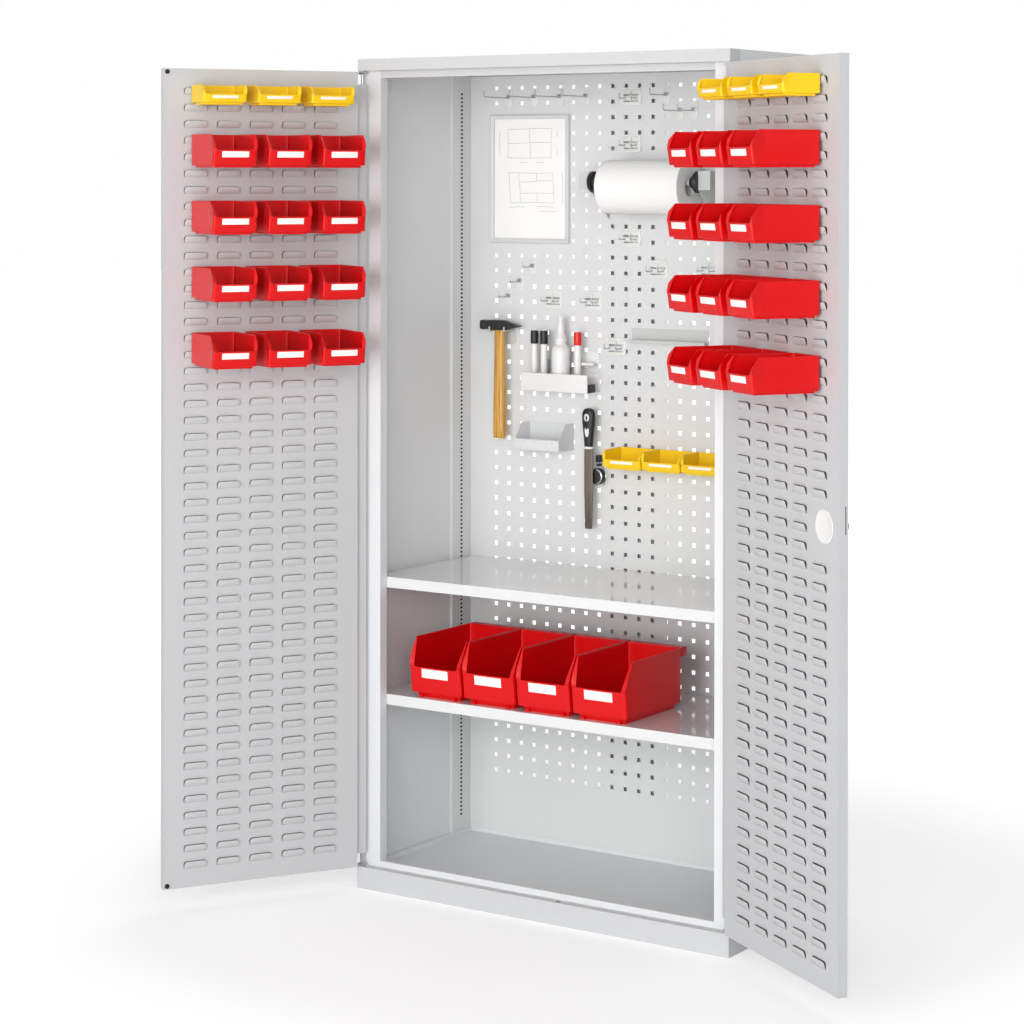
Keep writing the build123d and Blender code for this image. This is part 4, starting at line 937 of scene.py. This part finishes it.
def sketchLines():
    # hand-drawn straight lines: two divided rectangles with their dimension lines, in shares of the sheet
    x0, z1 = drawing["left"] + drawing["bar"], drawing["top"] - drawing["bar"]
    w, h = drawing["width"] - 2 * drawing["bar"], drawing["height"] - 2 * drawing["bar"]
    lines = [(0.19, 0.083, 0.80, 0.081), (0.80, 0.081, 0.79, 0.327), (0.79, 0.327, 0.17, 0.324),
             (0.19, 0.324, 0.19, 0.083),
             (0.19, 0.203, 0.79, 0.196), (0.49, 0.083, 0.51, 0.324),
             (0.20, 0.450, 0.81, 0.454), (0.81, 0.454, 0.84, 0.697), (0.84, 0.697, 0.23, 0.700),
             (0.23, 0.700, 0.20, 0.450), (0.34, 0.452, 0.37, 0.697), (0.35, 0.528, 0.82, 0.512),
             (0.37, 0.622, 0.83, 0.618), (0.59, 0.454, 0.59, 0.52), (0.60, 0.622, 0.60, 0.697),
             (0.21, 0.738, 0.43, 0.736), (0.60, 0.732, 0.84, 0.732), (0.62, 0.772, 0.86, 0.772),
             (0.95, 0.45, 0.955, 0.70), (0.36, 0.362, 0.46, 0.364), (0.58, 0.364, 0.70, 0.362),
             (0.88, 0.10, 0.88, 0.15),
             (0.88, 0.26, 0.88, 0.31), (0.07, 0.10, 0.07, 0.30)]
    shapes = []
    for number, (u0, v0, u1, v1) in enumerate(lines):
        t = np.linspace(0, 1, 9)
        wobble = 0.0022 * np.sin(t * 7.0 + number * 1.7)
        u = u0 + (u1 - u0) * t + wobble * (abs(v1 - v0) > abs(u1 - u0))
        v = v0 + (v1 - v0) * t + wobble * (abs(v1 - v0) <= abs(u1 - u0))
        path = np.column_stack([x0 + w * u, np.full(len(t), drawing["ink"]), z1 - h * v])
        shapes.append(tube(path, 0.45, around=6))
    return shapes


placed("drawingFrame", [frameShape(), softBlock(drawing["left"] + 5, drawing["left"] + 229, 218.2, 220.6,
                                                drawing["top"] - 314, drawing["top"] - 5, 0.4)],
       paleMoulded, "cabinet", "pale_plastic", "drawing_frame")
placed("sheetSketch", sketchLines(), pencil, "cabinet", "black_plastic")


def trayPieces():
    x0, z0, w = penTray["x"], penTray["z"], penTray["width"]
    y0, top = panelFace - penTray["depth"], penTray["z"] + penTray["height"]
    white = [softBlock(x0, x0 + w, y0, y0 + 2.2, z0, top, 0.7),
             softBlock(x0 + 1, x0 + w - 1, y0 + 1.5, 220.5, z0 + 0.2, z0 + 2.0, 0.4),
             softBlock(x0 + 1, x0 + w - 1, 218.6, 220.8, z0, top, 0.5)]
    ends = [softBlock(x0 + 0.6, x0 + 3.0, y0 + 2.4, y0 + 38, z0 + 0.3, z0 + 21, 0.8),
            softBlock(x0 + w - 3.0, x0 + w - 0.2, y0 + 2.4, y0 + 38, z0 + 0.3, z0 + 21, 0.8)]
    hangers = [softBlock(x - 5, x + 5, 214.5, 218.4, top - 6, top + rise, 0.8)
               for x, rise in ((x0 + 42, 30), (x0 + 106, 58))]
    placed("penTray", white, whiteMoulded, "cabinet", "white_plastic", "pen_tray")
    placed("penTrayEnds", ends, blackMoulded, "cabinet", "black_plastic")
    placed("trayHangers", hangers, zinc, "cabinet", "zinc")
    x, z = x0 + 158.0, top + 34
    placed("trayHolder", [boardPlate(x, z, 62.0, 38.0, 2.5, 8.0),
                          softBlock(x - 30, x + 30, 196, 219, z - 15, z - 12.6, 0.8),
                          softBlock(x - 30, x + 30, 196, 198.4, z - 15, z - 6, 0.8)],
           clearHolder, "cabinet", "hook_grey")


trayPieces()


def rollHubs():
    # dished disc over each end of the axle and a cone that runs towards the roll
    shapes = []
    for side in (-1, 1):
        profile = [(0, 0.4), (25.3, 0.4), (25.9, -0.6), (25.9, -8.0), (25.0, -9.0), (20.5, -9.8), (15.0, -16.0),
                   (13.4, -22.0), (11.0, -22.6), (0, -22.6)]
        profile = [(r, side * h) for r, h in profile]
        shapes.append(lathe(profile, (roll["x"] + side * roll["axleHalf"], roll["y"], roll["z"]), axis="x"))
    return shapes


placed("rollHubs", rollHubs(), blackMoulded, "cabinet", "black_plastic")
print("holders made")

rails = {"face": 495.8, "sheet": 1.2, "middles": (-159.7, 181.0), "low": 62.0, "high": 1935.0}


def railShadows():
    # dark strip close behind each column of slots, as the closed channel of a rail looks from outside
    shapes = []
    near = rails["face"] + rails["sheet"] + 0.4
    for side in (-1, 1):
        for middle in rails["middles"]:
            a, b = sorted((side * near, side * (near + 0.6)))
            shapes.append(softBlock(a, b, middle - 7, middle + 7, rails["low"], rails["high"], 0.2))
    return shapes


placed("railShadows", railShadows(), blackRubber, "cabinet", "black_steel")


def lockPieces():
    # turned and lofted about the lock's axis on the closed left door's mirror image
    x, z, face = lock["x"], lock["z"], lock["face"]
    inner = face + 22.0
    cover = [(0, inner + 0.1), (34.8, inner + 0.1), (35.0, inner + 0.5), (34.2, inner + 1.3), (31.5, inner + 1.6),
             (30.4, inner + 1.25), (12, inner + 1.5), (0, inner + 1.55)]
    placed("lockCover", [lathe(cover, (x, 0, z), axis="y", around=64)], whiteMoulded, "right_door", "pale_plastic",
           "lock_cover", side="right")
    top = face - 5.0 - 0.3
    rosette = [(5.6, face), (25.0, face), (25.0, face - 3.2), (24.2, face - 4.6), (22.6, face - 5.0), (5.6, face - 5.0),
               (5.6, face)]
    placed("handleRosette", [lathe(rosette, (x, 0, z), axis="y", around=64)], blackMoulded, "right_door",
           "black_plastic", "handle_rosette", side="right")
    hub = [(5.0, top), (16.0, top), (17.0, top - 1.0), (16.6, top - 12), (15.4, top - 20.4), (14.0, top - 21.8),
           (8.2, top - 22.0), (8.06, top - 21.6), (8.06, top - 6.0), (0, top - 6.0)]
    grip = []
    for sign in (-1, 1):
        rows = [(z + sign * 10, 7.4, 9.0), (z + sign * 17, 7.3, 8.6), (z + sign * 21.4, 6.8, 7.6),
                (z + sign * 22.8, 5.6, 6.2), (z + sign * 23.0, 4.4, 5.0)]
        grip.append(loft([(h, x, top - 12.0, a, b, 4) for h, a, b in rows], "z", 32))
    spindle = [(0, top - 0.2), (4.9, top - 0.2), (5.0, top), (5.0, face + 4.8), (0, face + 4.8)]
    turned = [lathe(hub, (x, 0, z), axis="y", around=48), lathe(spindle, (x, 0, z), axis="y", around=24)]
    placed("turnHandle", turned + grip, blackMoulded, "handle", "black_plastic", "turn_handle", side="right")
    plug = [(0, top - 6.1), (7.9, top - 6.1), (7.98, top - 7), (7.98, top - 21.2), (7.4, top - 22.0), (0, top - 22.0)]
    placed("lockPlug", [lathe(plug, (x, 0, z), axis="y", around=40)], chromePlate, "handle", "chrome", "lock_cylinder",
           side="right")
    # painted shade: a thin black patch on the plug's face stands in for the shade inside the keyhole
    placed("keyholeShade", [softBlock(x - 0.7, x + 0.7, top - 22.15, top - 21.6, z - 4, z + 4, 0.3)], blackMoulded, "handle",
           "black_plastic", side="right")


lockPieces()
print("lock made")


floorGlow = {"From Min": 1.0, "From Max": 3.6, "To Min": 0.27, "To Max": 0.95}  # metres out, and the white there


def stageFloor():
    # plain pale plane that fades to white away from the cabinet, for what the camera sees only
    mesh = bpy.data.meshes.new("stageFloor")
    mesh.from_pydata([(-30, -30, 0), (30, -30, 0), (30, 30, 0), (-30, 30, 0)], [], [(0, 1, 2, 3)])
    floor = bpy.data.objects.new("stageFloor", mesh)
    bpy.context.scene.collection.objects.link(floor)
    material = bpy.data.materials.new("paleFloor")
    material.use_nodes = True
    tree = material.node_tree
    shader = tree.nodes["Principled BSDF"]
    shader.inputs["Base Color"].default_value = (0.9, 0.9, 0.9, 1)
    shader.inputs["Roughness"].default_value = 0.7
    rays = node(tree, "ShaderNodeLightPath")
    place = node(tree, "ShaderNodeTexCoord")
    distance = node(tree, "ShaderNodeVectorMath", operation="LENGTH")
    far = node(tree, "ShaderNodeMapRange")
    for label, value in floorGlow.items():
        far.inputs[label].default_value = value
    tree.links.new(place.outputs["Object"], distance.inputs[0])
    tree.links.new(distance.outputs["Value"], far.inputs["Value"])
    glow = math2(tree, "MULTIPLY", rays.outputs["Is Camera Ray"], far.outputs[0])
    shader.inputs["Emission Color"].default_value = (1, 1, 1, 1)
    tree.links.new(glow, shader.inputs["Emission Strength"])
    mesh.materials.append(material)


stageFloor()
print("stage made")
